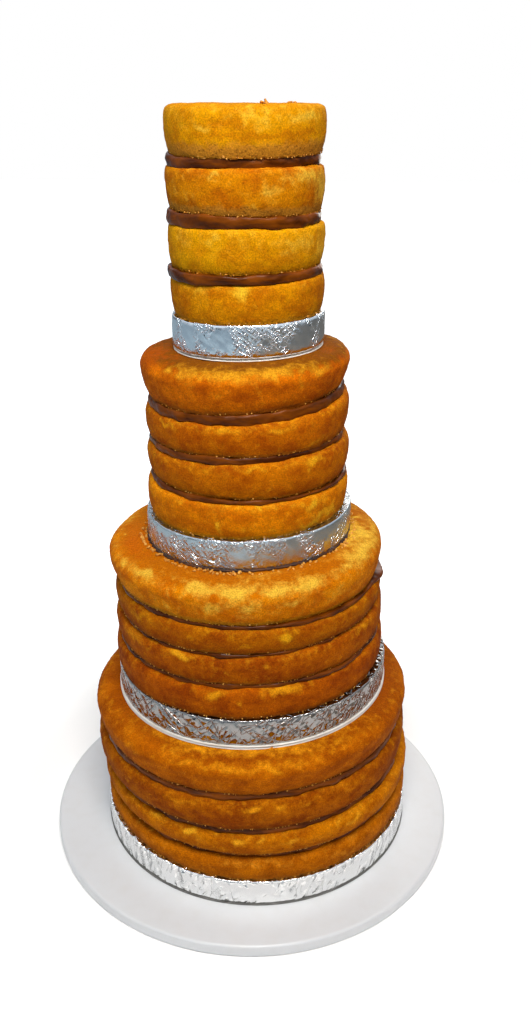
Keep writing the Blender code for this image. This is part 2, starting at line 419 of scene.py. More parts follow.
@dataclass(frozen=True)
class BoardStockFinish:
    """Card or covered board: flat, with a fine fibre or a smooth skin and slight soiling.

    It looks plain and dull, or faintly satin on the board. A real fibre is finer than the render
    can show, so it is drawn as coarser specks, fibre_mm across.
    """

    name: str
    colour: str
    stain: str
    stain_share: float
    fibre_mm: float
    roughness: float
    relief: float = 0.15
    relief_mm: float = 0.3
    soil_mm: float = 14.0

    def material(self) -> bpy.types.Material:
        """Build the shader of card or covered board.

        Returns:
            The finished material.
        """
        material, tree, shader = new_material(self.name)
        place = add_node(tree, "ShaderNodeTexCoord").outputs["Object"]
        fibre = add_node(
            tree, "ShaderNodeTexNoise", {"Vector": place},
            {"Scale": 1.0 / (self.fibre_mm * MM), "Detail": 4.0, "Roughness": 0.6},
        )
        soil = add_node(
            tree, "ShaderNodeTexNoise", {"Vector": place},
            {"Scale": 1.0 / (self.soil_mm * MM), "Detail": 4.0},
        )
        share = add_node(
            tree, "ShaderNodeMapRange", {"Value": soil.outputs["Fac"]},
            {"From Min": 0.45, "From Max": 0.75, "To Max": self.stain_share},
        )
        colour = add_node(
            tree, "ShaderNodeMix", {"Factor": share.outputs["Result"]},
            {"A": linear(self.colour), "B": linear(self.stain)}, data_type="RGBA",
        )
        tree.links.new(colour.outputs["Result"], shader.inputs["Base Color"])
        bump = add_node(
            tree, "ShaderNodeBump", {"Height": fibre.outputs["Fac"]},
            {"Strength": self.relief, "Distance": self.relief_mm * MM},
        )
        tree.links.new(bump.outputs["Normal"], shader.inputs["Normal"])
        shader.inputs["Roughness"].default_value = self.roughness
        return material


def baked(
    name: str, crumb: str, skin: str, pale: str, foot: str, crust: str, foot_mm: float = 6.0,
) -> SpongeFinish:
    """Name a sponge's finish after its place in the cake.

    Args:
        name: The node's name.
        crumb: The colour of the open crumb.
        skin: The colour of the browned skin.
        pale: The colour where the skin is rubbed off.
        foot: The colour of the crumbly foot, darker than the crumb as a painted shade.
        crust: The colour of the upper face.
        foot_mm: How high the crumbly foot and its painted shade reach.

    Returns:
        The finish.
    """
    return SpongeFinish(f"baked sponge {name}", crumb, skin, pale, foot, crust, foot_mm=foot_mm)


BAKES = {
    finish.name.split()[-1]: finish for finish in (
        baked("tier1_sponge1", "b26100", "944b00", "d0881e", "985c11", "8e4600"),
        baked("tier1_sponge2", "bc6c00", "984c00", "dc9c1b", "9e600c", "8e4600"),
        baked("tier1_sponge3", "9f5300", "7e3600", "d68c0f", "81480d", "8e4600"),
        baked("tier1_sponge4", "b45e00", "924400", "dc900f", "91510c", "8d4200"),
        baked("tier2_sponge1", "ad5400", "853700", "d6900f", "914c0e", "8e4600"),
        baked("tier2_sponge2", "a85500", "853700", "d89615", "8d500f", "8e4600"),
        baked("tier2_sponge3", "a85b00", "8d4000", "d89a0f", "8d510d", "8e4600"),
        baked("tier2_sponge4", "d57d00", "b55900", "d9ac36", "b27310", "ab5c00", 9.0),
        baked("tier3_sponge1", "d97e00", "b65d00", "e0aa1e", "a86c0d", "8e4600"),
        baked("tier3_sponge2", "bc6700", "9c4800", "dc9c15", "9c5b0d", "8e4600"),
        baked("tier3_sponge3", "b96200", "9b4600", "d89613", "9d580f", "8e4600"),
        baked("tier3_sponge4", "cb6800", "a24800", "d7961a", "98500e", "753f00", 8.0),
        baked("tier4_sponge1", "d08600", "b46400", "e0b027", "a86c0c", "a45c00"),
        baked("tier4_sponge2", "d69400", "c27800", "dcaa2c", "ac700c", "a45c00"),
        baked("tier4_sponge3", "ca7c00", "ae5b00", "dcac34", "b07220", "a45c00", 12.0),
        baked("crumbs", "dca04c", "bc7c30", "e8ba70", "bc7c30", "bc7c30"),
        baked("tier4_sponge4", "d89300", "bc7000", "e0b234", "c07c22", "c07c00", 17.0),
    )
}


class Foil(Enum):
    """How the foil of each drum looks: clean, handled, darkened, or matt side out.

    Apart from the matt side, the colours are tinted blue as a painted reflection of the sky,
    and the foils of tiers 2 and 3 are darkened as a painted shade.
    """

    # Painted reflection: the blue tint of this foil colour
    CLEAN = FoilFinish(
        "rolled aluminium foil, clean", "eaf3fa", 0.13,
        ((14, 38, 4.0), (11, -50, 4.5), (24, 66, 3.0)), 0.04, (0.8, 0.38),
    )
    # Painted shade and painted reflection: this foil colour is darkened and tinted blue
    HANDLED = FoilFinish(
        "rolled aluminium foil, handled", "ccd4d8", 0.22,
        ((13, 38, 3.6), (10, -48, 4.0), (22, 64, 2.8)), 0.06, (0.9, 0.52),
    )
    # Painted shade: this dark grey stands in for the drum's dimmer reflections
    GREASY = FoilFinish(
        "rolled aluminium foil, greasy", "9e9c9a", 0.16,
        ((26, 42, 2.6), (17, -52, 2.8)), 0.085, (1.2, 0.8),
    )
    MATT = FoilFinish(
        "rolled aluminium foil, matt side", "f4f4f3", 0.23,
        ((34, 80, 2.4), (22, -66, 3.0)), 0.15, (1.5, 0.6),
    )


class Stock(Enum):
    """The card under a drum, and the board."""

    WHITE = BoardStockFinish("white-lined corrugated card", "ece9e3", "b98a52", 0.3, 0.7, 0.75)
    # A very dark brown card, with brown smears
    DARK = BoardStockFinish("caramel-soaked card", "2a160b", "6a3a14", 0.8, 1.2, 0.7, 0.6)
    GREY = BoardStockFinish("grey card", "5c5b58", "8c8a86", 0.5, 0.7, 0.7)
    BOARD = BoardStockFinish("satin covered cake board", "cfd1d4", "c9c9c9", 0.4, 2.2, 0.32, 0.05)


@dataclass(frozen=True)
class Patch:
    """A blotch on a sponge: where it is, its size, and how pale, or below nothing how brown. On
    the top sponges some wide patches are painted light and painted shade.

    The angle is in degrees from +X, and along is the distance in millimetres up the section
    from the foot's edge.
    """

    angle: float
    along: float
    wide: float
    tall: float
    pale: float


@dataclass
class TurnedForm:
    """A round piece, as rows of radius and height about an upright axis.

    Row 0 is the edge of the upper face, and the last row is the edge of the lower face.
    """

    centre: tuple[float, float]
    radius: np.ndarray
    height: np.ndarray

    @classmethod
    def of_node(cls, node: bpy.types.Object, rows: int) -> "TurnedForm":
        """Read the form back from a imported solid.

        Args:
            node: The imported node, whose object sits at the origin.
            rows: How many rings of points its solid has.

        Returns:
            The form, with one column of points for each of the solid's facets.
        """
        flat = np.empty(len(node.data.vertices) * 3, np.float32)
        node.data.vertices.foreach_get("co", flat)
        points = np.unique(np.round(flat.reshape(-1, 3).astype(float), 6), axis=0)
        centre = points[:, :2].mean(axis=0)
        away = points[:, :2] - centre
        points = points[np.hypot(*away.T) > AXIS_REACH_MM * MM]
        centre = points[:, :2].mean(axis=0)
        away = points[:, :2] - centre
        steps = round(len(points) / rows)
        column = np.rint(np.arctan2(away[:, 1], away[:, 0]) / (2.0 * math.pi / steps)).astype(int) % steps
        order = np.lexsort((-points[:, 2], column))
        count = np.bincount(column, minlength=steps)
        whole = np.flatnonzero(count == rows)
        if len(whole) < LEAST_WHOLE_COLUMNS * steps:
            raise ValueError(f"{node.name} doesn't have {rows} rings of points")
        first = np.cumsum(count) - count
        measures = np.stack([np.hypot(*away.T), points[:, 2]], axis=-1)[order]
        rings = measures[first[whole, None] + np.arange(rows)]
        turn = np.arange(steps)
        radius, height = (
            np.stack(
                [np.interp(turn, whole, rings[:, row, part], period=steps) for row in range(rows)], axis=1,
            )
            for part in (0, 1)
        )
        return cls(tuple(centre), radius, height)

    def around(self, count: int) -> "TurnedForm":
        """Round the facets off with a smooth periodic curve through their corners.

        Args:
            count: How many columns the finer form has.

        Returns:
            The finer form.
        """
        scale = count / len(self.radius)
        radius, height = (
            np.fft.irfft(np.fft.rfft(values, axis=0), count, axis=0) * scale
            for values in (self.radius, self.height)
        )
        return TurnedForm(self.centre, radius, height)

    def inward(self, row: int, radius: np.ndarray) -> np.ndarray:
        """Find heights on the flat face inside a row.

        Args:
            row: The row at the face's edge.
            radius: The radius that is asked about in each column.

        Returns:
            The face's height there in each column.
        """
        middle = self.height[:, row].mean()
        return middle + (self.height[:, row] - middle) * radius / self.radius[:, row]

    def curved(self, spans: Iterable[int]) -> "TurnedForm":
        """Draw a smooth section through the rows.

        Args:
            spans: How many steps to take between each row and the next.

        Returns:
            A form with the finer rows.
        """
        lead = 3.0 * MM
        first, last = (
            np.stack([self.radius[:, row] - lead, self.inward(row, self.radius[:, row] - lead)], -1)
            for row in (0, -1)
        )
        knots = np.stack([self.radius, self.height], -1)
        knots = np.concatenate([first[:, None], knots, last[:, None]], axis=1)
        pieces = []
        for start, steps in enumerate(spans):
            a, b, c, d = (knots[:, start + i, None] for i in range(4))
            t = (np.arange(steps) / steps)[None, :, None]
            bend, twist = 2 * a - 5 * b + 4 * c - d, 3 * b - a - 3 * c + d
            pieces.append(0.5 * (2 * b + (c - a) * t + bend * t**2 + twist * t**3))
        pieces.append(knots[:, -2:-1])
        curve = np.concatenate(pieces, axis=1)
        return TurnedForm(self.centre, curve[..., 0], curve[..., 1])

    def rolled(self, bow_mm: float, crown_mm: float, tuck_mm: float) -> "TurnedForm":
        """Give the side of a baked layer its soft roundness.

        Args:
            bow_mm: How far the middle of the side swells.
            crown_mm: How far the upper edge is drawn in.
            tuck_mm: How far the foot is drawn in.

        Returns:
            The rounder form.
        """
        crown_from, tuck_to, steepness = 0.6, 0.35, 2.2
        low, high = self.height[:, -1:], self.height[:, :1]
        up = np.clip((self.height - low) / (high - low), 0.0, 1.0)
        bow = bow_mm * 4.0 * up * (1.0 - up)
        crown = crown_mm * np.clip((up - crown_from) / (1.0 - crown_from), 0.0, 1.0) ** steepness
        tuck = tuck_mm * np.clip((tuck_to - up) / tuck_to, 0.0, 1.0) ** steepness
        return TurnedForm(self.centre, self.radius + (bow - crown - tuck) * MM, self.height)

    def capped(self, upper_rings: int, lower_rings: int) -> "TurnedForm":
        """Carry the upper and lower faces in towards the axis.

        Args:
            upper_rings: How many rings the upper face gets.
            lower_rings: How many rings the lower face gets.

        Returns:
            A form whose first and last rows lie close to the axis.
        """
        outward = np.linspace(POLE_SHARE, 1.0, upper_rings, endpoint=False)
        inward = np.linspace(1.0, POLE_SHARE, lower_rings + 1)[1:]
        radii, heights = [self.radius], [self.height]
        for row, share, place in ((0, outward, 0), (-1, inward, 2)):
            middle = self.height[:, row].mean()
            radii.insert(place, self.radius[:, row, None] * share)
            heights.insert(place, middle + (self.height[:, row, None] - middle) * share)
        return TurnedForm(self.centre, np.concatenate(radii, axis=1), np.concatenate(heights, axis=1))

    def points(self) -> np.ndarray:
        """Work out where the points of the form are.

        Returns:
            Their places, as columns by rows by three.
        """
        columns = len(self.radius)
        angle = (np.arange(columns) * 2.0 * math.pi / columns)[:, None]
        x = self.centre[0] + self.radius * np.cos(angle)
        y = self.centre[1] + self.radius * np.sin(angle)
        return np.stack([x, y, self.height], axis=-1)

    def mesh(self, name: str) -> bpy.types.Mesh:
        """Make a closed mesh of the form, with a pole at the middle of each face.

        Args:
            name: The mesh's name.

        Returns:
            The mesh, with its faces outward.
        """
        grid = self.points()
        columns, rows = grid.shape[:2]
        top = [*self.centre, float(self.height[:, 0].mean())]
        low = [*self.centre, float(self.height[:, -1].mean())]
        corners = np.concatenate([grid.reshape(-1, 3), [top, low]])
        index = np.arange(columns * rows).reshape(columns, rows)
        after = np.roll(index, -1, axis=0)
        quads = np.stack([index[:, :-1], index[:, 1:], after[:, 1:], after[:, :-1]], axis=-1).reshape(-1, 4)
        pole = columns * rows
        upper = np.stack([np.full(columns, pole), index[:, 0], after[:, 0]], axis=-1)
        lower = np.stack([np.full(columns, pole + 1), after[:, -1], index[:, -1]], axis=-1)
        mesh = bpy.data.meshes.new(name)
        mesh.from_pydata(corners.tolist(), [], [*quads.tolist(), *upper.tolist(), *lower.tolist()])
        mesh.shade_smooth()
        return mesh

    def along(self, row: int) -> np.ndarray:
        """Measure along the section from one row to every point of the form.

        Args:
            row: The row's index, which may count from the end.

        Returns:
            The distances in metres, columns by rows.
        """
        step = np.hypot(np.diff(self.radius, axis=1), np.diff(self.height, axis=1))
        run = np.concatenate([np.zeros((len(self.radius), 1)), np.cumsum(step, axis=1)], axis=1)
        return np.abs(run - run[:, row, None])


def set_attribute(
    mesh: bpy.types.Mesh, name: str, values: np.ndarray, poles: tuple[float, ...] = (0.0, 0.0),
) -> None:
    """Store one number for each point of a mesh.

    Args:
        mesh: The mesh.
        name: The attribute's name.
        values: The numbers, one for each point of the turned form.
        poles: The numbers at the middles of a turned mesh's upper and lower faces, if it has them.
    """
    attribute = mesh.attributes.new(name, "FLOAT", "POINT")
    attribute.data.foreach_set("value", np.append(values, poles).astype(np.float32))


class GrowthTree:
    """A Geometry Nodes tree under construction, with its named inputs."""

    def __init__(self, name: str, *labels: str) -> None:
        """Start a tree that takes a shape, numbers and a material.

        Args:
            name: The tree's name.
            *labels: The name of each number.
        """
        self.tree = bpy.data.node_groups.new(name, "GeometryNodeTree")
        face = self.tree.interface
        kinds = {"Geometry": "Geometry", **{label: "Float" for label in labels}, "Material": "Material"}
        for label, kind in kinds.items():
            face.new_socket(label, in_out="INPUT", socket_type=f"NodeSocket{kind}")
        face.new_socket("Geometry", in_out="OUTPUT", socket_type="NodeSocketGeometry")
        self.input = self.tree.nodes.new("NodeGroupInput")

    def add(
        self, kind: str, links: dict[Any, Socket] | None = None, values: dict[Any, Any] | None = None,
        **settings: Any,
    ) -> bpy.types.Node:
        """Add a node to the tree, as add_node does."""
        return add_node(self.tree, kind, links, values, **settings)

    def given(self, label: str) -> Socket:
        """Return the socket of a named input."""
        return self.input.outputs[label]

    def swing(self, place: Socket, size: Socket, height: Socket, detail: float) -> Socket:
        """Add a noise that swings either way of nothing, drawn by the tree's Seed.

        Args:
            place: The position socket.
            size: The socket that holds the noise's size in metres.
            height: The socket that holds how far it swings in metres.
            detail: How many finer layers it has.

        Returns:
            The socket with the offset in metres.
        """
        scale = self.add("ShaderNodeMath", {1: size}, {0: 1.0}, operation="DIVIDE")
        noise = self.add(
            "ShaderNodeTexNoise", {"Vector": place, "Scale": scale.outputs[0], "W": self.given("Seed")},
            {"Detail": detail}, noise_dimensions="4D",
        )
        either_way = self.add(
            "ShaderNodeMapRange", {"Value": noise.outputs[0]},
            {"From Min": 0.25, "From Max": 0.75, "To Min": -1.0, "To Max": 1.0},
        )
        return self.add(
            "ShaderNodeMath", {0: either_way.outputs[0], 1: height}, operation="MULTIPLY",
        ).outputs[0]

    def relief(self, *bands: tuple[str, Socket, float]) -> Socket:
        """Add up noises whose sizes and heights are inputs of the tree.

        Args:
            *bands: Each noise's label, its position socket and how many finer layers it has.

        Returns:
            The socket with their sum in metres.
        """
        return total_of(self.tree, [
            self.swing(place, self.given(f"{label} Size"), self.given(f"{label} Height"), detail)
            for label, place, detail in bands
        ])

    def pushed(self, geometry: Socket, distance: Socket) -> Socket:
        """Move a shape's points along their normals.

        Args:
            geometry: The socket that holds the shape.
            distance: The socket that says how far, in metres.

        Returns:
            The socket that holds the moved shape.
        """
        normal = self.add("GeometryNodeInputNormal").outputs[0]
        push = self.add("ShaderNodeVectorMath", {0: normal, "Scale": distance}, operation="SCALE")
        return self.add(
            "GeometryNodeSetPosition", {"Geometry": geometry, "Offset": push.outputs[0]},
        ).outputs[0]

    def finish(self, geometry: Socket) -> None:
        """End the tree in Realize Instances and Set Material.

        Args:
            geometry: The socket that holds the finished shape.
        """
        whole = self.add("GeometryNodeRealizeInstances", {"Geometry": geometry})
        dressed = self.add(
            "GeometryNodeSetMaterial", {"Geometry": whole.outputs[0], "Material": self.given("Material")},
        )
        self.add("NodeGroupOutput", {"Geometry": dressed.outputs[0]})

    def grow(self, obj: bpy.types.Object, values: dict[str, Any]) -> None:
        """Run the tree on an object and keep the result as its plain mesh.

        Args:
            obj: The object that the tree changes.
            values: The value of each named input.
        """
        modifier = obj.modifiers.new("Growth", "NODES")
        modifier.node_group = self.tree
        for item in self.tree.interface.items_tree:
            if item.item_type == "SOCKET" and item.in_out == "INPUT" and item.name in values:
                modifier[item.identifier] = values[item.name]
        obj.update_tag()
        graph = bpy.context.evaluated_depsgraph_get()
        mesh = bpy.data.meshes.new_from_object(obj.evaluated_get(graph))
        obj.modifiers.remove(modifier)
        old = obj.data
        obj.data = mesh
        mesh.name = obj.name
        bpy.data.meshes.remove(old)


def noise_inputs(**bands: tuple[float, float]) -> dict[str, float]:
    """Turn the sizes and heights of noises into the inputs of a tree.

    Args:
        **bands: Each noise's size and height in millimetres, by its label in small letters.

    Returns:
        The value in metres of each Size and Height input.
    """
    return {
        f"{label.title()} {part}": measure * MM
        for label, band in bands.items() for part, measure in zip(("Size", "Height"), band)
    }


# How many times coarser the ragged foot is than the crumb
RAG_COARSENESS = 1.7


def sponge_tree() -> GrowthTree:
    """Build the tree that gives a turned sponge its lumps, crumb and ragged foot.

    Returns:
        The tree, whose point attribute from_foot is the distance to the foot's edge.
    """
    growth = GrowthTree(
        "Baked crumb", "Lump Size", "Lump Height", "Dimple Size", "Dimple Height", "Crumb Size",
        "Crumb Height", "Foot Depth", "Foot Raggedness", "Seed",
    )
    place = growth.add("GeometryNodeInputPosition").outputs[0]
    relief = growth.relief(("Lump", place, 1.0), ("Dimple", place, 2.0), ("Crumb", place, 2.0))
    foot = growth.add("GeometryNodeInputNamedAttribute", values={"Name": "from_foot"}, data_type="FLOAT")
    near = growth.add(
        "ShaderNodeMapRange", {"Value": foot.outputs[0], "From Max": growth.given("Foot Depth")},
        {"From Min": 0.0, "To Min": 1.0, "To Max": 0.0}, interpolation_type="SMOOTHSTEP",
    )
    depth = growth.add(
        "ShaderNodeMath", {0: near.outputs[0], 1: growth.given("Foot Raggedness")}, operation="MULTIPLY",
    )
    coarser = growth.add(
        "ShaderNodeMath", {0: growth.given("Crumb Size")}, {1: RAG_COARSENESS}, operation="MULTIPLY",
    )
    ragged = growth.swing(place, coarser.outputs[0], depth.outputs[0], 3.0)
    growth.finish(growth.pushed(growth.given("Geometry"), total_of(growth.tree, (relief, ragged))))
    return growth


def caramel_tree() -> GrowthTree:
    """Build the tree that draws a turned filling into folds and squeezed lips.

    Returns:
        The tree, whose point attribute edge is 1 at the outside and 0 inside the cake.
    """
    growth = GrowthTree(
        "Squeezed caramel", "Swell Size", "Swell Height", "Fold Size", "Fold Height", "Ripple Size",
        "Ripple Height", "Seed",
    )
    place = growth.add("GeometryNodeInputPosition").outputs[0]
    flat = growth.add(
        "ShaderNodeVectorMath", {0: place}, {1: (1.0, 1.0, 2.0)}, operation="MULTIPLY",
    ).outputs[0]
    relief = growth.relief(("Swell", place, 1.0), ("Fold", flat, 2.0), ("Ripple", flat, 1.0))
    edge = growth.add("GeometryNodeInputNamedAttribute", values={"Name": "edge"}, data_type="FLOAT")
    folds = growth.add("ShaderNodeMath", {0: relief, 1: edge.outputs[0]}, operation="MULTIPLY")
    growth.finish(growth.pushed(growth.given("Geometry"), folds.outputs[0]))
    return growth


def foil_tree() -> GrowthTree:
    """Build the tree that breaks a smooth band into the long facets of used foil.

    Returns:
        The tree. Its facets are the slopes of a net of cells in the unrolled band, given by the
        point attributes around and up, and the point attribute crumpled says where the foil is
        crushed and where it lies smooth.
    """
    growth = GrowthTree(
        "Crumpled foil", "Fold Size", "Fold Slope", "Crease Size", "Crease Slope", "Crushed Size",
        "Crushed From", "Rim Wobble", "Seed",
    )
    place = growth.add("GeometryNodeInputPosition").outputs[0]
    normal = growth.add("GeometryNodeInputNormal").outputs[0]
    seed = growth.given("Seed")
    around, up, rim = (
        growth.add("GeometryNodeInputNamedAttribute", values={"Name": name}, data_type="FLOAT").outputs[0]
        for name in ("around", "up", "rim")
    )
    unrolled = growth.add("ShaderNodeCombineXYZ", {"X": around, "Y": up, "Z": seed}).outputs[0]
    scale = growth.add("ShaderNodeMath", {1: growth.given("Crushed Size")}, {0: 1.0}, operation="DIVIDE")
    crushed = growth.add(
        "ShaderNodeTexNoise", {"Vector": place, "W": seed, "Scale": scale.outputs[0]}, {"Detail": 2.0},
        noise_dimensions="4D",
    )
    full = growth.add("ShaderNodeMath", {0: growth.given("Crushed From")}, {1: 0.1}, operation="ADD")
    mask = growth.add(
        "ShaderNodeMapRange",
        {"Value": crushed.outputs[0], "From Min": growth.given("Crushed From"), "From Max": full.outputs[0]},
        interpolation_type="SMOOTHSTEP",
    ).outputs[0]
    roofs = []
    for label, slant, stretch in (("Fold", 52.0, 1.6), ("Crease", -36.0, 2.2)):
        turned = growth.add(
            "ShaderNodeVectorRotate", {"Vector": unrolled}, {"Angle": math.radians(slant)},
            rotation_type="Z_AXIS",
        )
        drawn = growth.add(
            "ShaderNodeVectorMath", {0: turned.outputs[0]}, {1: (1.0, stretch, 1.0)}, operation="MULTIPLY",
        )
        size = growth.given(f"{label} Size")
        scale = growth.add("ShaderNodeMath", {1: size}, {0: 1.0}, operation="DIVIDE")
        cells = growth.add(
            "ShaderNodeTexVoronoi", {"Vector": drawn.outputs[0], "Scale": scale.outputs[0]},
            feature="DISTANCE_TO_EDGE", voronoi_dimensions="2D",
        )
        slope = growth.add(
            "ShaderNodeMath", {0: size, 1: growth.given(f"{label} Slope")}, operation="MULTIPLY",
        )
        roof = growth.add(
            "ShaderNodeMath", {0: cells.outputs["Distance"], 1: slope.outputs[0]}, operation="MULTIPLY",
        ).outputs[0]
        if label == "Crease":
            roof = growth.add("ShaderNodeMath", {0: roof, 1: mask}, operation="MULTIPLY").outputs[0]
        roofs.append(roof)
    push = growth.add(
        "ShaderNodeVectorMath", {0: normal, "Scale": total_of(growth.tree, roofs)}, operation="SCALE",
    )
    wobble = growth.add("ShaderNodeMath", {0: rim, 1: growth.given("Rim Wobble")}, operation="MULTIPLY")
    swing = growth.add(
        "ShaderNodeMapRange", {"Value": crushed.outputs[0]},
        {"From Min": 0.3, "From Max": 0.7, "To Min": -1.0},
    )
    lift = growth.add("ShaderNodeMath", {0: swing.outputs[0], 1: wobble.outputs[0]}, operation="MULTIPLY")
    upward = growth.add("ShaderNodeCombineXYZ", {"Z": lift.outputs[0]})
    offset = growth.add("ShaderNodeVectorMath", {0: push.outputs[0], 1: upward.outputs[0]}, operation="ADD")
    marked = growth.add(
        "GeometryNodeStoreNamedAttribute", {"Geometry": growth.given("Geometry"), "Value": mask},
        {"Name": "crumpled"}, data_type="FLOAT", domain="POINT",
    )
    moved = growth.add(
        "GeometryNodeSetPosition", {"Geometry": marked.outputs[0], "Offset": offset.outputs[0]},
    )
    growth.finish(moved.outputs[0])
    return growth


# The half-widths of the smallest and the largest crumb, as shares of the crumb size
CRUMB_SHARES = ((0.25, 0.25, 0.2), (0.75, 0.6, 0.5))

# How far a crumb may be turned about each axis, in radians: about once round
CRUMB_TURN = 6.28

# How knobbly a crumb is, as a share of the crumb size
CRUMB_KNOBS = 0.3


def crumb_tree() -> GrowthTree:
    """Build the tree that scatters loose crumbs over a bed and takes the bed away.

    Returns:
        The tree, whose point attribute thick says how thickly crumbs lie.
    """
    growth = GrowthTree("Loose crumbs", "Crumbs Per Square Metre", "Crumb Size", "Seed")
    thick = growth.add("GeometryNodeInputNamedAttribute", values={"Name": "thick"}, data_type="FLOAT")
    density = growth.add(
        "ShaderNodeMath", {0: thick.outputs[0], 1: growth.given("Crumbs Per Square Metre")},
        operation="MULTIPLY",
    )
    spots = growth.add(
        "GeometryNodeDistributePointsOnFaces",
        {"Mesh": growth.given("Geometry"), "Density": density.outputs[0]}, {"Seed": CRUMB_SPOT_SEED},
    )
    grain = growth.add("GeometryNodeMeshIcoSphere", values={"Radius": 1.0, "Subdivisions": 2})
    turn, widths = (
        growth.add(
            "FunctionNodeRandomValue", values={0: least, 1: most, "Seed": seed}, data_type="FLOAT_VECTOR",
        )
        for least, most, seed in (
            ((0.0, 0.0, 0.0), (CRUMB_TURN, CRUMB_TURN, CRUMB_TURN), CRUMB_TURN_SEED),
            (*CRUMB_SHARES, CRUMB_SIZE_SEED),
        )
    )
    sized = growth.add(
        "ShaderNodeVectorMath", {0: widths.outputs[0], "Scale": growth.given("Crumb Size")},
        operation="SCALE",
    )
    grains = growth.add(
        "GeometryNodeInstanceOnPoints",
        {"Points": spots.outputs["Points"], "Instance": grain.outputs["Mesh"], "Rotation": turn.outputs[0],
         "Scale": sized.outputs[0]},
    )
    loose = growth.add("GeometryNodeRealizeInstances", {"Geometry": grains.outputs[0]})
    place = growth.add("GeometryNodeInputPosition").outputs[0]
    size = growth.given("Crumb Size")
    rough = growth.add("ShaderNodeMath", {0: size}, {1: CRUMB_KNOBS}, operation="MULTIPLY")
    knobs = growth.swing(place, size, rough.outputs[0], 1.0)
    growth.finish(growth.pushed(loose.outputs[0], knobs))
    return growth


def flute_tree() -> GrowthTree:
    """Build the tree that lets a paper strip follow a card's edge as the cut of straight flutes.

    Returns:
        The tree. Its input is a ring of edges at the middle of the card's thickness.
    """
    growth = GrowthTree(
        "Corrugated medium", "Flute Spacing", "Flute Height", "Paper Width", "Paper Thickness",
    )
    path = growth.add("GeometryNodeMeshToCurve", {"Mesh": growth.given("Geometry")})
    place = growth.add("GeometryNodeInputPosition").outputs[0]
    split = growth.add("ShaderNodeSeparateXYZ", {0: place})
    turns = growth.add(
        "ShaderNodeMath", {0: split.outputs["X"], 1: growth.given("Flute Spacing")}, operation="DIVIDE",
    )
    angle = growth.add("ShaderNodeMath", {0: turns.outputs[0]}, {1: 2.0 * math.pi}, operation="MULTIPLY")
    wave = growth.add("ShaderNodeMath", {0: angle.outputs[0]}, operation="SINE")
    height = growth.add("ShaderNodeMath", {0: growth.given("Flute Height")}, {1: 0.5}, operation="MULTIPLY")
    rise = growth.add("ShaderNodeMath", {0: wave.outputs[0], 1: height.outputs[0]}, operation="MULTIPLY")
    upward = growth.add("ShaderNodeCombineXYZ", {"Z": rise.outputs[0]})
    waved = growth.add(
        "GeometryNodeSetPosition", {"Geometry": path.outputs[0], "Offset": upward.outputs[0]},
    )
    strip = growth.add(
        "GeometryNodeCurvePrimitiveQuadrilateral",
        {"Width": growth.given("Paper Width"), "Height": growth.given("Paper Thickness")},
    )
    ribbon = growth.add(
        "GeometryNodeCurveToMesh", {"Curve": waved.outputs[0], "Profile Curve": strip.outputs[0]},
    )
    growth.finish(ribbon.outputs[0])
    return growth


def place_piece(name: str, mesh: bpy.types.Mesh, material: bpy.types.Material) -> bpy.types.Object:
    """Put a mesh in the scene as an object at the origin.

    Args:
        name: The piece's name.
        mesh: Its mesh, already where it belongs.
        material: Its finish.

    Returns:
        The object.
    """
    obj = bpy.data.objects.new(name, mesh)
    bpy.context.scene.collection.objects.link(obj)
    mesh.materials.clear()
    mesh.materials.append(material)
    return obj


def hand_over(obj: bpy.types.Object, slot: str, *nodes: str) -> None:
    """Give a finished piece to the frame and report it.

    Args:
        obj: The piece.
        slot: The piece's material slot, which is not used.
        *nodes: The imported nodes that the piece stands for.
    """
    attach(obj, BODY)
    if nodes:
        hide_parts(*nodes)
    LOG.info("%s: %d faces", obj.name, len(obj.data.polygons))


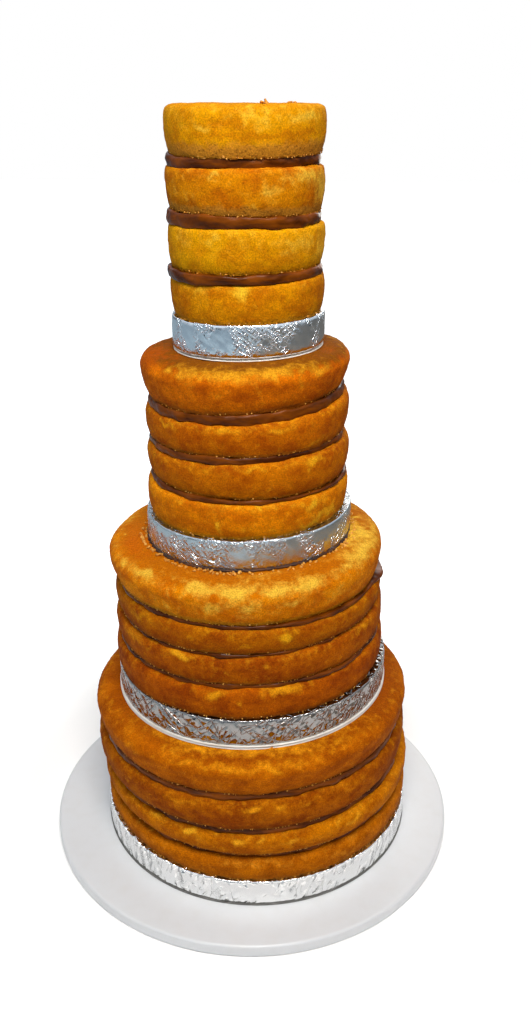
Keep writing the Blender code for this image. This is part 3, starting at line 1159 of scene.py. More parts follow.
@dataclass
class Sponge:
    """One baked layer of sponge.

    A pair of sizes is the width and the height of one kind of relief. The outlines of blotches
    wander by sway_mm, in waves that run round the cake and, by drifts_mm, up its side.
    """

    node: bpy.types.Object
    slot: str
    top_shows: bool
    roundness_mm: tuple[float, float, float]
    # How strongly the shoulder is paled: rubbed skin and a painted highlight
    gold: float
    patches: tuple[Patch, ...]
    spacing_mm: float = 1.3
    ring_mm: float = 2.2
    covered_rings: int = 4
    least_steps: int = 3
    solid_rows: int = 6
    lump_mm: tuple[float, float] = (34.0, 0.7)
    dimple_mm: tuple[float, float] = (9.0, 0.35)
    crumb_mm: tuple[float, float] = (2.8, 0.24)
    foot_depth_mm: float = 4.5
    foot_ragged_mm: float = 1.1
    gold_mm: float = 7.5
    crust_mm: float = 7.0
    sway_mm: float = 0.9
    sways: tuple[int, ...] = (17, 29, 43)
    drifts_mm: tuple[float, ...] = (2.3, 3.7)
    drift_twist: float = 5.0
    fade: float = 0.6

    def form(self) -> tuple[TurnedForm, int]:
        """Draw the sponge's fine form, with its faces carried in to the axis.

        Returns:
            The form, and the index of its shoulder's row.
        """
        coarse = TurnedForm.of_node(self.node, self.solid_rows)
        columns = int(2.0 * math.pi * coarse.radius.max() / (self.spacing_mm * MM))
        fine = coarse.around(columns)
        steps = [max(self.least_steps, round(gap / self.spacing_mm / MM)) for gap in self.row_gaps(coarse)]
        section = fine.curved(steps).rolled(*self.roundness_mm)
        rings = self.covered_rings
        if self.top_shows:
            rings = int(section.radius[:, 0].mean() / (self.ring_mm * MM))
        return section.capped(rings, HIDDEN_RINGS), rings + steps[0]

    @staticmethod
    def row_gaps(form: TurnedForm) -> list[float]:
        """Measure the mean distances between neighbouring rows.

        Args:
            form: The form with the solid's own rows.

        Returns:
            The distances in metres, from the top row down.
        """
        gaps = np.hypot(np.diff(form.radius, axis=1), np.diff(form.height, axis=1))
        return gaps.mean(axis=0).tolist()

    def blotches(self, form: TurnedForm, along: np.ndarray) -> np.ndarray:
        """Add up the patches at every point of the form.

        Args:
            form: The fine form.
            along: Each point's distance from the foot's edge.

        Returns:
            How pale each point is, or how brown where it is below nothing.
        """
        angle = (np.arange(len(form.radius)) * 360.0 / len(form.radius))[:, None]
        around, total = np.radians(angle), np.zeros_like(form.radius)
        sway = sum(np.sin(waves * around + waves) for waves in self.sways) * self.sway_mm * MM
        twist = self.drift_twist * around
        drift = sum(np.sin(along / (size * MM) + twist) for size in self.drifts_mm) * self.sway_mm * MM
        for patch in self.patches:
            turn = np.radians((angle - patch.angle + 180.0) % 360.0 - 180.0)
            across = (turn * form.radius + drift) / (self.fade * patch.wide * MM)
            rise = (along + sway - patch.along * MM) / (self.fade * patch.tall * MM)
            total += patch.pale * np.exp(-(across**2) - rise**2)
        return total

    def build(self, growth: GrowthTree, material: bpy.types.Material) -> bpy.types.Object:
        """Make the sponge.

        Args:
            growth: The tree from sponge_tree.
            material: The sponge's finish.

        Returns:
            The finished piece.
        """
        form, shoulder = self.form()
        mesh = form.mesh(self.node.name)
        along = form.along(-1 - HIDDEN_RINGS)
        # The shoulder band: partly rubbed skin, partly a painted highlight on the lit shoulder
        band = self.gold * np.exp(-(form.along(shoulder) / (self.gold_mm * MM)) ** 2)
        below = form.height.max(axis=1, keepdims=True) - form.height
        # The browned upper skin matters only on a sponge whose top shows
        crust = np.clip(1.0 - below / (self.crust_mm * MM), 0.0, 1.0) * self.top_shows
        set_attribute(mesh, "from_foot", along, (1.0, 0.0))
        set_attribute(mesh, "patch", self.blotches(form, along) + band)
        set_attribute(mesh, "crust", crust, (1.0, 0.0))
        obj = place_piece(f"{self.node.name}_baked", mesh, material)
        growth.grow(obj, {
            **noise_inputs(lump=self.lump_mm, dimple=self.dimple_mm, crumb=self.crumb_mm),
            "Foot Depth": self.foot_depth_mm * MM, "Foot Raggedness": self.foot_ragged_mm * MM,
            "Seed": SPONGE_SEED, "Material": material,
        })
        hand_over(obj, self.slot, self.node.name)
        return obj


@dataclass
class Filling:
    """One layer of dulce de leche, squeezed out between two sponges.

    A pair of sizes is the width and the height of one kind of relief.
    """

    node: bpy.types.Object
    recess_mm: float
    spacing_mm: float = 0.95
    solid_rows: int = 3
    sag_mm: float = 1.4
    lift_mm: float = 0.5
    plump_mm: float = 0.7
    swell_mm: tuple[float, float] = (22.0, 1.4)
    fold_mm: tuple[float, float] = (14.0, 0.8)
    ripple_mm: tuple[float, float] = (6.0, 0.1)
    side_steps: tuple[int, ...] = (3, 5, 5, 3)

    def form(self) -> TurnedForm:
        """Draw the filling's fine form: plumper than its solid, and sagging over the sponge below.

        Returns:
            The form, with its faces carried in to the axis.
        """
        coarse = TurnedForm.of_node(self.node, self.solid_rows)
        columns = int(2.0 * math.pi * coarse.radius.max() / (self.spacing_mm * MM))
        fine = coarse.around(columns)
        top, middle, low = (fine.radius[:, i] - self.recess_mm * MM for i in range(3))
        above, below = fine.height[:, 0], fine.height[:, 2]
        thick = above - below
        plump = self.plump_mm * MM
        # Five rings, widest a little below half the thickness and sagging past the solid's foot
        radius = np.stack([top, middle - 0.2 * plump, middle + plump, middle - 0.2 * plump, low], axis=1)
        height = np.stack([
            above + self.lift_mm * MM, above, below + 0.45 * thick, below - 0.5 * self.sag_mm * MM,
            below - self.sag_mm * MM,
        ], axis=1)
        shaped = TurnedForm(fine.centre, radius, height)
        return shaped.curved(self.side_steps).capped(HIDDEN_RINGS, HIDDEN_RINGS)

    def build(self, growth: GrowthTree, material: bpy.types.Material) -> bpy.types.Object:
        """Make the filling.

        Args:
            growth: The tree from caramel_tree.
            material: The caramel finish.

        Returns:
            The finished piece.
        """
        form = self.form()
        mesh = form.mesh(self.node.name)
        rows = form.radius.shape[1]
        row = np.arange(rows)
        edge = np.where((row >= HIDDEN_RINGS) & (row < rows - HIDDEN_RINGS), 1.0, 0.0)
        set_attribute(mesh, "edge", np.tile(edge, len(form.radius)))
        obj = place_piece(f"{self.node.name}_caramel", mesh, material)
        growth.grow(obj, {
            **noise_inputs(swell=self.swell_mm, fold=self.fold_mm, ripple=self.ripple_mm),
            "Seed": CARAMEL_SEED, "Material": material,
        })
        hand_over(obj, "dulce_de_leche", self.node.name)
        return obj


@dataclass
class FoilDrum:
    """A round drum wrapped in kitchen foil, folded all over and creased where it is crushed.

    A slope is how steeply the sides of a fold or a crease rise.
    """

    node: bpy.types.Object
    rim_wobble_mm: float = 0.5
    crushed_from: float = 0.45
    fold_mm: float = 15.0
    fold_slope: float = 0.04
    crease_mm: float = 9.0
    crease_slope: float = 0.07
    crushed_mm: float = 20.0
    rim_mm: float = 9.0
    spacing_mm: float = 0.75
    side_steps: tuple[int, ...] = (4, 24, 4)
    top_rings: int = 10
    solid_rows: int = 4

    def build(self, growth: GrowthTree, material: bpy.types.Material) -> bpy.types.Object:
        """Make the foil-wrapped drum.

        Args:
            growth: The tree from foil_tree.
            material: The foil finish.

        Returns:
            The finished piece.
        """
        coarse = TurnedForm.of_node(self.node, self.solid_rows)
        columns = int(2.0 * math.pi * coarse.radius.max() / (self.spacing_mm * MM))
        form = coarse.around(columns).curved(self.side_steps).capped(self.top_rings, HIDDEN_RINGS)
        mesh = form.mesh(self.node.name)
        near = np.clip(1.0 - form.along(self.top_rings) / (self.rim_mm * MM), 0.0, 1.0)
        turn = (np.arange(columns) / columns)[:, None] * 2.0 * math.pi * coarse.radius.max()
        set_attribute(mesh, "rim", near)
        set_attribute(mesh, "up", form.along(-1 - HIDDEN_RINGS))
        set_attribute(mesh, "around", np.broadcast_to(turn, form.radius.shape))
        obj = place_piece(f"{self.node.name}_foil", mesh, material)
        growth.grow(obj, {
            "Fold Size": self.fold_mm * MM, "Fold Slope": self.fold_slope,
            "Crease Size": self.crease_mm * MM, "Crease Slope": self.crease_slope,
            "Crushed Size": self.crushed_mm * MM, "Crushed From": self.crushed_from,
            "Rim Wobble": self.rim_wobble_mm * MM, "Seed": FOIL_SEED, "Material": material,
        })
        hand_over(obj, "crinkled_foil", self.node.name)
        return obj


@dataclass
class CakeCard:
    """The card under a drum: two liners with flutes between them, or one thin sheet.

    The paper of the flutes is as wide, inward from the edge, and as thick as paper_mm says. A torn
    edge is nibbled at random, within nibble_mm.
    """

    node: bpy.types.Object
    slot: str
    corrugated: bool
    torn_mm: float = 0.0
    liner_mm: float = 0.55
    flute_spacing_mm: float = 6.4
    paper_mm: tuple[float, float] = (3.0, 0.35)
    flute_inset: float = 0.85
    nibble_mm: tuple[float, float] = (-2.0, 1.0)
    columns: int = 360
    flute_columns: int = 1080
    solid_rows: int = 2

    def build(self, growth: GrowthTree, material: bpy.types.Material) -> bpy.types.Object:
        """Make the card.

        Args:
            growth: The tree from flute_tree.
            material: The card's finish.

        Returns:
            The finished piece.
        """
        form = TurnedForm.of_node(self.node, self.solid_rows).around(self.columns)
        rings = (HIDDEN_RINGS, HIDDEN_RINGS)
        name = f"{self.node.name}_cut"
        if self.torn_mm:
            nibbles = np.random.default_rng(TORN_SEED).normal(0.0, self.torn_mm * MM, (self.columns, 1))
            deepest, proudest = (reach * MM for reach in self.nibble_mm)
            form = TurnedForm(form.centre, form.radius + np.clip(nibbles, deepest, proudest), form.height)
        if not self.corrugated:
            obj = place_piece(name, form.capped(*rings).mesh(name), material)
            hand_over(obj, self.slot, self.node.name)
            return obj
        liner = self.liner_mm * MM
        top, low = form.height[:, 0], form.height[:, 1]
        sheets = [np.stack([top, top - liner], axis=1), np.stack([low + liner, low], axis=1)]
        parts = []
        for number, heights in enumerate(sheets):
            sheet = TurnedForm(form.centre, form.radius, heights).capped(*rings).mesh(f"{name}_{number}")
            parts.append(place_piece(f"{name}_{number}", sheet, material))
        parts.append(self.flutes(form, growth, material))
        joined = self.join(parts, name)
        hand_over(joined, self.slot, self.node.name)
        return joined

    def flutes(self, form: TurnedForm, growth: GrowthTree, material: bpy.types.Material) -> bpy.types.Object:
        """Make the waved paper between the liners, as it shows at the cut edge.

        Args:
            form: The card's fine form.
            growth: The tree from flute_tree.
            material: The card's finish.

        Returns:
            The paper, as an object of its own.
        """
        count = self.flute_columns
        fine = TurnedForm.of_node(self.node, self.solid_rows).around(count)
        angle = np.arange(count) * 2.0 * math.pi / count
        radius = fine.radius[:, 0] - self.flute_inset * self.paper_mm[0] * MM
        points = np.stack([
            fine.centre[0] + radius * np.cos(angle), fine.centre[1] + radius * np.sin(angle),
            fine.height.mean(axis=1),
        ], axis=1)
        mesh = bpy.data.meshes.new("flutes")
        mesh.from_pydata(points.tolist(), [(i, (i + 1) % count) for i in range(count)], [])
        obj = place_piece("flutes", mesh, material)
        room = float((form.height[:, 0] - form.height[:, 1]).mean()) - 2.0 * self.liner_mm * MM
        growth.grow(obj, {
            "Flute Spacing": self.flute_spacing_mm * MM, "Flute Height": room - self.paper_mm[1] * MM,
            "Paper Width": self.paper_mm[0] * MM, "Paper Thickness": self.paper_mm[1] * MM,
            "Material": material,
        })
        return obj

    @staticmethod
    def join(parts: list[bpy.types.Object], name: str) -> bpy.types.Object:
        """Join finished parts into one.

        Args:
            parts: The parts, of which the first becomes the whole.
            name: The whole's name.

        Returns:
            The whole.
        """
        whole = bmesh.new()
        for part in parts:
            whole.from_mesh(part.data)
        bmesh.ops.recalc_face_normals(whole, faces=whole.faces)
        first = parts[0]
        whole.to_mesh(first.data)
        whole.free()
        first.name = name
        for part in parts[1:]:
            mesh = part.data
            bpy.data.objects.remove(part)
            bpy.data.meshes.remove(mesh)
        return first


@dataclass
class CakeBoard:
    """The round white board under the whole cake."""

    node: bpy.types.Object
    columns: int = 480
    side_steps: tuple[int, ...] = (5, 5, 6, 5, 5)
    rings: tuple[int, int] = (12, 4)
    solid_rows: int = 6

    def build(self, material: bpy.types.Material) -> bpy.types.Object:
        """Make the board on its solid's form.

        Args:
            material: The board's finish.

        Returns:
            The finished piece.
        """
        form = TurnedForm.of_node(self.node, self.solid_rows).around(self.columns)
        mesh = form.curved(self.side_steps).capped(*self.rings).mesh("cake_board_covered")
        obj = place_piece("cake_board_covered", mesh, material)
        hand_over(obj, "white_board", self.node.name)
        return obj


@dataclass
class LooseCrumbs:
    """Crumbs that cling to the sponges' feet, and lie on a ledge and on the top.

    They are scattered over beds, which are bands between rings of points. A pinch is lifted by a
    share of the crumb's size, so that its crumbs stand on the sponge and don't sink in.
    """

    nodes: dict[str, bpy.types.Object]
    size_mm: float
    per_square_metre: float = 160000.0
    beds: list[tuple[np.ndarray, np.ndarray]] = field(default_factory=list)
    columns: int = 240
    pinch_columns: int = 12
    pinch_hole_mm: float = 0.5
    pinch_lift: float = 0.15
    foot_lift_mm: float = 0.2
    foot_thinnest: float = 0.15
    ledge_gap_mm: float = 0.3
    ledge_lift_mm: float = 0.5
    above_foot_mm: float = 20.0

    def ring(
        self, centre: tuple[float, float], radii: np.ndarray, heights: np.ndarray,
        thick: float | np.ndarray,
    ) -> None:
        """Add a band of bed between rings of points.

        Args:
            centre: The rings' axis.
            radii: The radii, columns by rings.
            heights: The heights, columns by rings.
            thick: How thickly crumbs lie on it, as one number or one for each ring.
        """
        share = np.broadcast_to(thick, radii.shape)
        self.beds.append((TurnedForm(centre, radii, heights).points(), share))

    def foot(self, form: TurnedForm, rows: slice) -> None:
        """Lay a bed on the foot of a finished sponge's form, thicker downwards.

        Args:
            form: The sponge's fine form.
            rows: The rows of the form that the bed covers.
        """
        radii, heights = form.radius[:, rows], form.height[:, rows]
        thick = np.linspace(self.foot_thinnest, 1.0, radii.shape[1])
        self.ring(form.centre, radii + self.foot_lift_mm * MM, heights, thick)

    def pinch(self, sponge: str, east_mm: float, north_mm: float, reach_mm: float, thick: float) -> None:
        """Lay a small round bed on a sponge's upper face.

        Args:
            sponge: The sponge's node.
            east_mm: How far towards +X of its middle the bed lies.
            north_mm: How far towards +Y of its middle the bed lies.
            reach_mm: The bed's radius.
            thick: How thickly crumbs lie on it.
        """
        form = TurnedForm.of_node(self.nodes[sponge], Sponge.solid_rows)
        centre = (form.centre[0] + east_mm * MM, form.centre[1] + north_mm * MM)
        shape = (self.pinch_columns, 2)
        radii = np.broadcast_to([self.pinch_hole_mm * MM, reach_mm * MM], shape)
        level = np.full(shape, float(form.height[:, 0].mean()) + self.pinch_lift * self.size_mm * MM)
        self.ring(centre, radii, level, thick)

    def ledge(self, card: str, reach_mm: float, thick: float) -> None:
        """Lay a bed on the ledge of a tier, round the card of the tier above.

        Args:
            card: The card's node.
            reach_mm: How far outward from the card the bed reaches.
            thick: How thickly crumbs lie on it.
        """
        inner = TurnedForm.of_node(self.nodes[card], CakeCard.solid_rows).around(self.columns)
        near = inner.radius[:, 1] + self.ledge_gap_mm * MM
        far = near + reach_mm * MM
        level = inner.height[:, 1] + self.ledge_lift_mm * MM
        self.ring(inner.centre, np.stack([near, far], axis=1), np.stack([level, level], axis=1), thick)

    def build(self, name: str, growth: GrowthTree, material: bpy.types.Material) -> bpy.types.Object:
        """Scatter the crumbs over the beds.

        Args:
            name: The piece's name.
            growth: The tree from crumb_tree.
            material: The crumbs' finish.

        Returns:
            The finished piece.
        """
        points, faces, thick = [], [], []
        for grid, share in self.beds:
            columns, rows = grid.shape[:2]
            index = np.arange(columns * rows).reshape(columns, rows) + len(points)
            after = np.roll(index, -1, axis=0)
            corners = np.stack([index[:, :-1], after[:, :-1], after[:, 1:], index[:, 1:]], axis=-1)
            faces += corners.reshape(-1, 4).tolist()
            points += grid.reshape(-1, 3).tolist()
            thick += share.ravel().tolist()
        mesh = bpy.data.meshes.new(name)
        mesh.from_pydata(points, [], faces)
        set_attribute(mesh, "thick", np.array(thick), ())
        obj = place_piece(name, mesh, material)
        growth.grow(obj, {
            "Crumbs Per Square Metre": self.per_square_metre, "Crumb Size": self.size_mm * MM,
            "Seed": CRUMB_SEED, "Material": material,
        })
        obj.data.shade_smooth()
        set_attribute(obj.data, "from_foot", np.full(len(obj.data.vertices), self.above_foot_mm * MM), ())
        hand_over(obj, "gold_sponge")
        return obj


# How far each tier's sponges swell at the side and draw in at the top edge and the foot, in mm
ROUNDNESS = {1: (1.6, 3.0, 2.4), 2: (1.0, 1.8, 1.6), 3: (1.0, 1.8, 1.2), 4: (0.7, 1.0, 0.6)}

# A sponge that stands on a drum is drawn in less at its foot
LOWEST_TUCK_MM = 0.2

# How strongly the shoulder of each tier's top sponge and of the others is paled to gold: partly
# rubbed skin, partly a painted highlight where the light falls on the shoulder
SHOULDER_GOLD_AND_HIGHLIGHT = {1: (0.2, 0.2), 2: (0.4, 0.2), 3: (0.36, 0.28), 4: (0.15, 0.15)}

# How far inside its solid's edge the filling lies in each tier, and in one layer that differs
RECESS_MM = {1: 2.8, 2: 1.6, 3: 0.8, 4: 0.2, "tier4_filling3": 1.8}

# How far the browned upper skin of each tier comes down the side
CRUST_MM = {1: 7.0, 2: 10.0, 3: 11.0, 4: 7.0}

# How unevenly the edge of the dark card is torn
TORN_MM = {Stock.DARK: 0.7}

# The size of each kind of loose crumb
CRUMB_MM = {"foot_crumbs": 1.3, "ledge_crumbs": 2.6, "top_crumbs": 6.0}

# The rows of a sponge's form where crumbs cling to its foot
FOOT_ROWS = slice(-8, -HIDDEN_RINGS)

# How far crumbs lie round the card of tier 3, in mm, and how thickly
LEDGE_BED = (6.0, 0.3)

# Two pinches on the top: how far east and north of its middle and how wide, in mm, and how thickly
TOP_PINCH, TOP_LUMP = (36.0, -20.0, 3.0, 0.5), (15.0, -30.0, 3.6, 0.6)

# The blotches that show on each sponge. The long pale bands across the front of the top sponges'
# shoulders are painted highlights, and on the tops of tiers 1 and 2 the wide pale patches at the
# front and right are painted light and the wide brown ones at the sides painted shade
PATCHES: dict[str, tuple[Patch, ...]] = {
    "tier1_sponge1": (
        Patch(-87, 20, 44, 4, 0.3), Patch(-112, 17, 23, 6, -0.4), Patch(-150, 24, 6, 4, 0.4),
        Patch(-77, 10, 38, 8, -0.3), Patch(-57, 12, 28, 10, 0.3),
    ),
    "tier1_sponge2": (
        Patch(-113, 24, 10, 5, 1.2), Patch(-127, 24, 9, 4, 0.6), Patch(-95, 21, 13, 4, 0.7),
        Patch(-88, 22, 6, 3, 0.7), Patch(-54, 21, 21, 5, 0.6), Patch(-77, 20, 13, 3, 0.5),
        Patch(-104, 20, 11, 4, -0.4), Patch(-69, 22, 15, 6, -0.3),
    ),
    "tier1_sponge3": (
        Patch(-89, 28, 16, 4, 0.8), Patch(-80, 29, 8, 4, 0.8), Patch(-71, 26, 13, 3, 0.5),
        Patch(-115, 28, 18, 3, 0.5), Patch(-102, 16, 42, 7, -0.5), Patch(-126, 26, 19, 5, -0.4),
        Patch(-60, 16, 42, 12, -0.2),
    ),
    "tier1_sponge4": (
        # Painted highlight: the first patch, a long pale band across the front of the shoulder
        Patch(-91, 32, 115, 5, 0.45), Patch(-80, 29, 8, 3, 0.7), Patch(-47, 21, 6, 3, -1.2),
        Patch(-109, 47, 11, 3, 0.8), Patch(-128, 36, 17, 14, -0.5), Patch(-95, 41, 57, 6, -0.5),
        Patch(-75, 13, 55, 14, -0.3), Patch(-159, 41, 7, 3, 0.4), Patch(-134, 25, 24, 6, 0.3),
        # Painted light and shade: the wide pale patch at the front of the top, and the wide brown ones at
        # its left and right
        Patch(-31, 40, 8, 9, -0.4), Patch(-92, 60, 190, 28, 0.85), Patch(-170, 62, 80, 26, -0.7),
        Patch(-8, 62, 80, 26, -0.5),
    ),
    "tier2_sponge1": (
        Patch(-103, 24, 11, 7, 1.0), Patch(-76, 30, 22, 6, 0.8), Patch(-93, 19, 4, 3, 0.6),
        Patch(-70, 27, 11, 5, 0.5), Patch(-98, 19, 10, 11, -0.7), Patch(-89, 27, 8, 7, -0.6),
        Patch(-54, 22, 21, 11, -0.7), Patch(-122, 23, 36, 10, -0.5), Patch(-70, 9, 37, 11, -0.3),
        Patch(-35, 22, 22, 8, -0.4),
    ),
    "tier2_sponge2": (
        Patch(-119, 27, 12, 5, 0.9), Patch(-114, 26, 11, 4, 0.8), Patch(-99, 24, 10, 5, -0.3),
        Patch(-123, 11, 24, 7, -0.4), Patch(-82, 21, 5, 4, 0.5), Patch(-143, 22, 19, 6, 0.4),
        Patch(-51, 24, 17, 5, -0.4), Patch(-34, 27, 17, 4, 0.5),
    ),
    "tier2_sponge3": (
        Patch(-74, 17, 10, 7, 1.2), Patch(-117, 20, 8, 7, -0.7), Patch(-67, 13, 14, 8, -0.5),
        Patch(-139, 19, 24, 7, 0.4), Patch(-83, 29, 7, 3, -0.5), Patch(-100, 16, 20, 4, -0.2),
        Patch(-90, 13, 10, 4, 0.3),
    ),
    "tier2_sponge4": (
        Patch(-10, 53, 9, 7, 1.0), Patch(8, 57, 3, 7, 0.7), Patch(162, 43, 3, 9, 0.6),
        Patch(-5, 50, 4, 3, -0.7), Patch(-176, 43, 5, 3, 0.8), Patch(-164, 46, 6, 3, -0.5),
        Patch(-123, 37, 22, 7, -0.5), Patch(-104, 51, 18, 8, -0.4), Patch(-50, 46, 18, 6, -0.6),
        Patch(-85, 56, 40, 12, 0.25), Patch(-135, 37, 14, 8, 1.0), Patch(-109, 37, 18, 10, 0.8),
        Patch(-93, 35, 16, 9, 0.9), Patch(-87, 21, 16, 10, 0.5), Patch(-102, 19, 18, 10, 0.45),
        Patch(-76, 34, 11, 7, 0.8), Patch(-63, 35, 19, 6, 1.0), Patch(-71, 23, 12, 4, 0.6),
        Patch(-150, 32, 14, 7, 0.4), Patch(-101, 29, 7, 5, -0.8), Patch(-84, 31, 5, 4, -0.6),
        Patch(-115, 38, 13, 6, -0.4), Patch(-121, 12, 18, 7, 0.3), Patch(-49, 21, 23, 9, 0.3),
        # Painted light and shade: the wide pale patches at the right and front, and the wide brown ones at
        # the left
        Patch(-14, 62, 60, 30, 0.8), Patch(-168, 60, 60, 26, -0.6), Patch(-30, 44, 40, 12, 0.5),
        Patch(-88, 30, 110, 26, 0.22), Patch(-162, 46, 60, 16, -0.6),
    ),
    "tier3_sponge1": (
        Patch(-51, 24, 12, 6, 0.9), Patch(-40, 12, 29, 10, 0.8), Patch(-54, 5, 17, 6, 0.8),
        Patch(-105, 14, 4, 7, 0.9), Patch(-83, 29, 4, 4, 0.7), Patch(-89, 12, 8, 4, 0.6),
        Patch(-75, 8, 8, 3, 0.7), Patch(-122, 28, 14, 6, -0.4), Patch(-96, 25, 11, 6, -0.4),
        Patch(-32, 24, 10, 6, -0.6), Patch(-140, 26, 13, 5, -0.4),
    ),
    "tier3_sponge2": (
        Patch(-86, 30, 15, 3, 0.6), Patch(-51, 31, 11, 5, 0.9), Patch(-55, 26, 3, 3, 0.7),
        Patch(-132, 19, 7, 7, -0.5), Patch(-61, 24, 10, 8, -0.5), Patch(-82, 24, 9, 6, -0.4),
        Patch(-80, 10, 10, 5, 0.3), Patch(-107, 15, 13, 6, -0.2),
    ),
    "tier3_sponge3": (
        Patch(-102, 26, 25, 4, 0.6), Patch(-140, 24, 25, 3, 0.5), Patch(-72, 24, 25, 3, 0.7),
        Patch(-59, 20, 5, 4, -0.6), Patch(-127, 17, 10, 6, -0.4), Patch(-48, 8, 22, 7, 0.4),
        Patch(-110, 13, 3, 3, -0.8), Patch(-86, 19, 14, 5, -0.3),
    ),
    "tier3_sponge4": (
        # Painted highlight: the first patch, a long pale band across the front of the shoulder
        Patch(-96, 36, 84, 9, 0.45), Patch(-73, 38, 16, 8, 0.5), Patch(-45, 29, 12, 5, 0.8),
        Patch(-59, 24, 3, 10, 0.6), Patch(-135, 36, 10, 3, 0.5), Patch(-125, 33, 9, 5, 0.5),
        Patch(-135, 27, 10, 6, -0.5), Patch(-68, 23, 8, 7, -0.7), Patch(-91, 21, 7, 8, -0.6),
        Patch(-111, 27, 8, 7, -0.5), Patch(-75, 20, 5, 5, -0.4), Patch(-81, 22, 7, 7, 0.4),
        # The wide brown patches at the left and right, at the end, darken the shoulder there
        Patch(-101, 21, 6, 8, 0.3), Patch(-139, 31, 8, 4, 0.4), Patch(-168, 48, 60, 24, -0.6),
        Patch(-165, 36, 50, 16, -0.8), Patch(-22, 40, 44, 18, -0.5),
    ),
    "tier4_sponge1": (
        Patch(-94, 28, 11, 9, 1.0), Patch(-127, 27, 15, 6, 0.4), Patch(-84, 14, 5, 3, 0.5),
        Patch(-66, 22, 20, 10, -0.6), Patch(-106, 21, 9, 7, -0.5), Patch(-71, 10, 22, 3, -0.5),
        Patch(-29, 21, 22, 11, -0.5), Patch(-123, 15, 18, 5, 0.2),
    ),
    "tier4_sponge2": (
        Patch(-47, 23, 30, 10, 0.7), Patch(-113, 28, 12, 8, 0.6), Patch(-140, 27, 15, 11, 0.5),
        Patch(-87, 29, 20, 11, 0.3), Patch(-83, 22, 3, 3, -1.2), Patch(-101, 9, 28, 5, -0.3),
        Patch(-59, 16, 10, 4, 0.5), Patch(-18, 16, 28, 16, 0.6),
    ),
    "tier4_sponge3": (
        Patch(-41, 30, 30, 8, 0.9), Patch(-71, 21, 15, 7, 0.8), Patch(-80, 8, 9, 4, 0.6),
        Patch(-111, 31, 10, 3, 0.7), Patch(-145, 17, 17, 8, 0.3), Patch(-106, 18, 14, 7, -0.6),
        Patch(-87, 29, 12, 7, -0.6), Patch(-44, 16, 30, 3, -0.6), Patch(-91, 9, 8, 4, -0.5),
        Patch(-130, 11, 15, 6, 0.2), Patch(-18, 19, 28, 18, 0.9),
    ),
    "tier4_sponge4": (
        Patch(-42, 29, 28, 6, 0.9), Patch(-119, 22, 14, 6, 0.6), Patch(-87, 31, 26, 11, 0.4),
        Patch(-77, 25, 16, 8, 0.3), Patch(-96, 28, 8, 7, -0.4), Patch(-80, 17, 80, 4, -0.8),
        Patch(-41, 19, 30, 4, -0.7), Patch(-125, 18, 30, 4, -0.5), Patch(-28, 10, 20, 6, 0.4),
        Patch(-140, 27, 14, 7, 0.3),
    ),
}


@dataclass
class Cake:
    """The whole cake on its board."""

    nodes: dict[str, bpy.types.Object]
    layers: int = 4
    # Each tier's card: its stock, its slot, and whether it is corrugated
    stocks: dict[int, tuple[Stock, str, bool]] = field(default_factory=lambda: {
        1: (Stock.GREY, "grey_card", False),
        2: (Stock.WHITE, "white_card", True),
        3: (Stock.DARK, "dark_card", False),
        4: (Stock.WHITE, "white_card", True),
    })
    # Each tier's foil: how it looks, its rim's wobble in mm, and the noise level that crushes it
    foils: dict[int, tuple[Foil, float, float]] = field(default_factory=lambda: {
        1: (Foil.MATT, 1.2, 0.4), 2: (Foil.GREASY, 0.4, 0.36), 3: (Foil.HANDLED, 0.3, 0.4),
        4: (Foil.CLEAN, 0.3, 0.46),
    })

    def build(self) -> None:
        """Make every piece of the cake."""
        stocks = {stock: stock.value.material() for stock in Stock}
        caramel = CaramelFinish().material()
        foils = {foil: foil.value.material() for foil in Foil}
        crumb, squeezed, crumpled, fluted = sponge_tree(), caramel_tree(), foil_tree(), flute_tree()
        CakeBoard(self.nodes["cake_board"]).build(stocks[Stock.BOARD])
        fine, coarse, large = (LooseCrumbs(self.nodes, size_mm) for size_mm in CRUMB_MM.values())
        for tier, (stock, slot, corrugated) in self.stocks.items():
            torn_mm = TORN_MM.get(stock, 0.0)
            card = CakeCard(self.nodes[f"tier{tier}_card"], slot, corrugated, torn_mm)
            card.build(fluted, stocks[stock])
            foil, rim_wobble_mm, crushed_from = self.foils[tier]
            drum = FoilDrum(self.nodes[f"tier{tier}_drum"], rim_wobble_mm, crushed_from)
            drum.build(crumpled, foils[foil])
            sponge_slot = "gold_sponge" if tier == len(self.stocks) else "amber_sponge"
            bow, crown, tuck = ROUNDNESS[tier]
            top_gold_and_highlight, lower_gold_and_highlight = SHOULDER_GOLD_AND_HIGHLIGHT[tier]
            for layer in range(1, self.layers + 1):
                name = f"tier{tier}_sponge{layer}"
                uppermost = layer == self.layers
                roundness_mm = (bow, crown, tuck if layer > 1 else LOWEST_TUCK_MM)
                sponge = Sponge(
                    self.nodes[name], sponge_slot, uppermost, roundness_mm,
                    top_gold_and_highlight if uppermost else lower_gold_and_highlight, PATCHES[name], crust_mm=CRUST_MM[tier],
                )
                sponge.build(crumb, BAKES[name].material())
                fine.foot(sponge.form()[0], FOOT_ROWS)
                if not uppermost:
                    name = f"tier{tier}_filling{layer}"
                    filling = Filling(self.nodes[name], RECESS_MM.get(name, RECESS_MM[tier]))
                    filling.build(squeezed, caramel)
        crumbs, scatter = BAKES["crumbs"].material(), crumb_tree()
        coarse.ledge("tier3_card", *LEDGE_BED)
        coarse.pinch("tier4_sponge4", *TOP_PINCH)
        large.pinch("tier4_sponge4", *TOP_LUMP)
        for name, kind in zip(CRUMB_MM, (fine, coarse, large)):
            kind.build(name, scatter, crumbs)


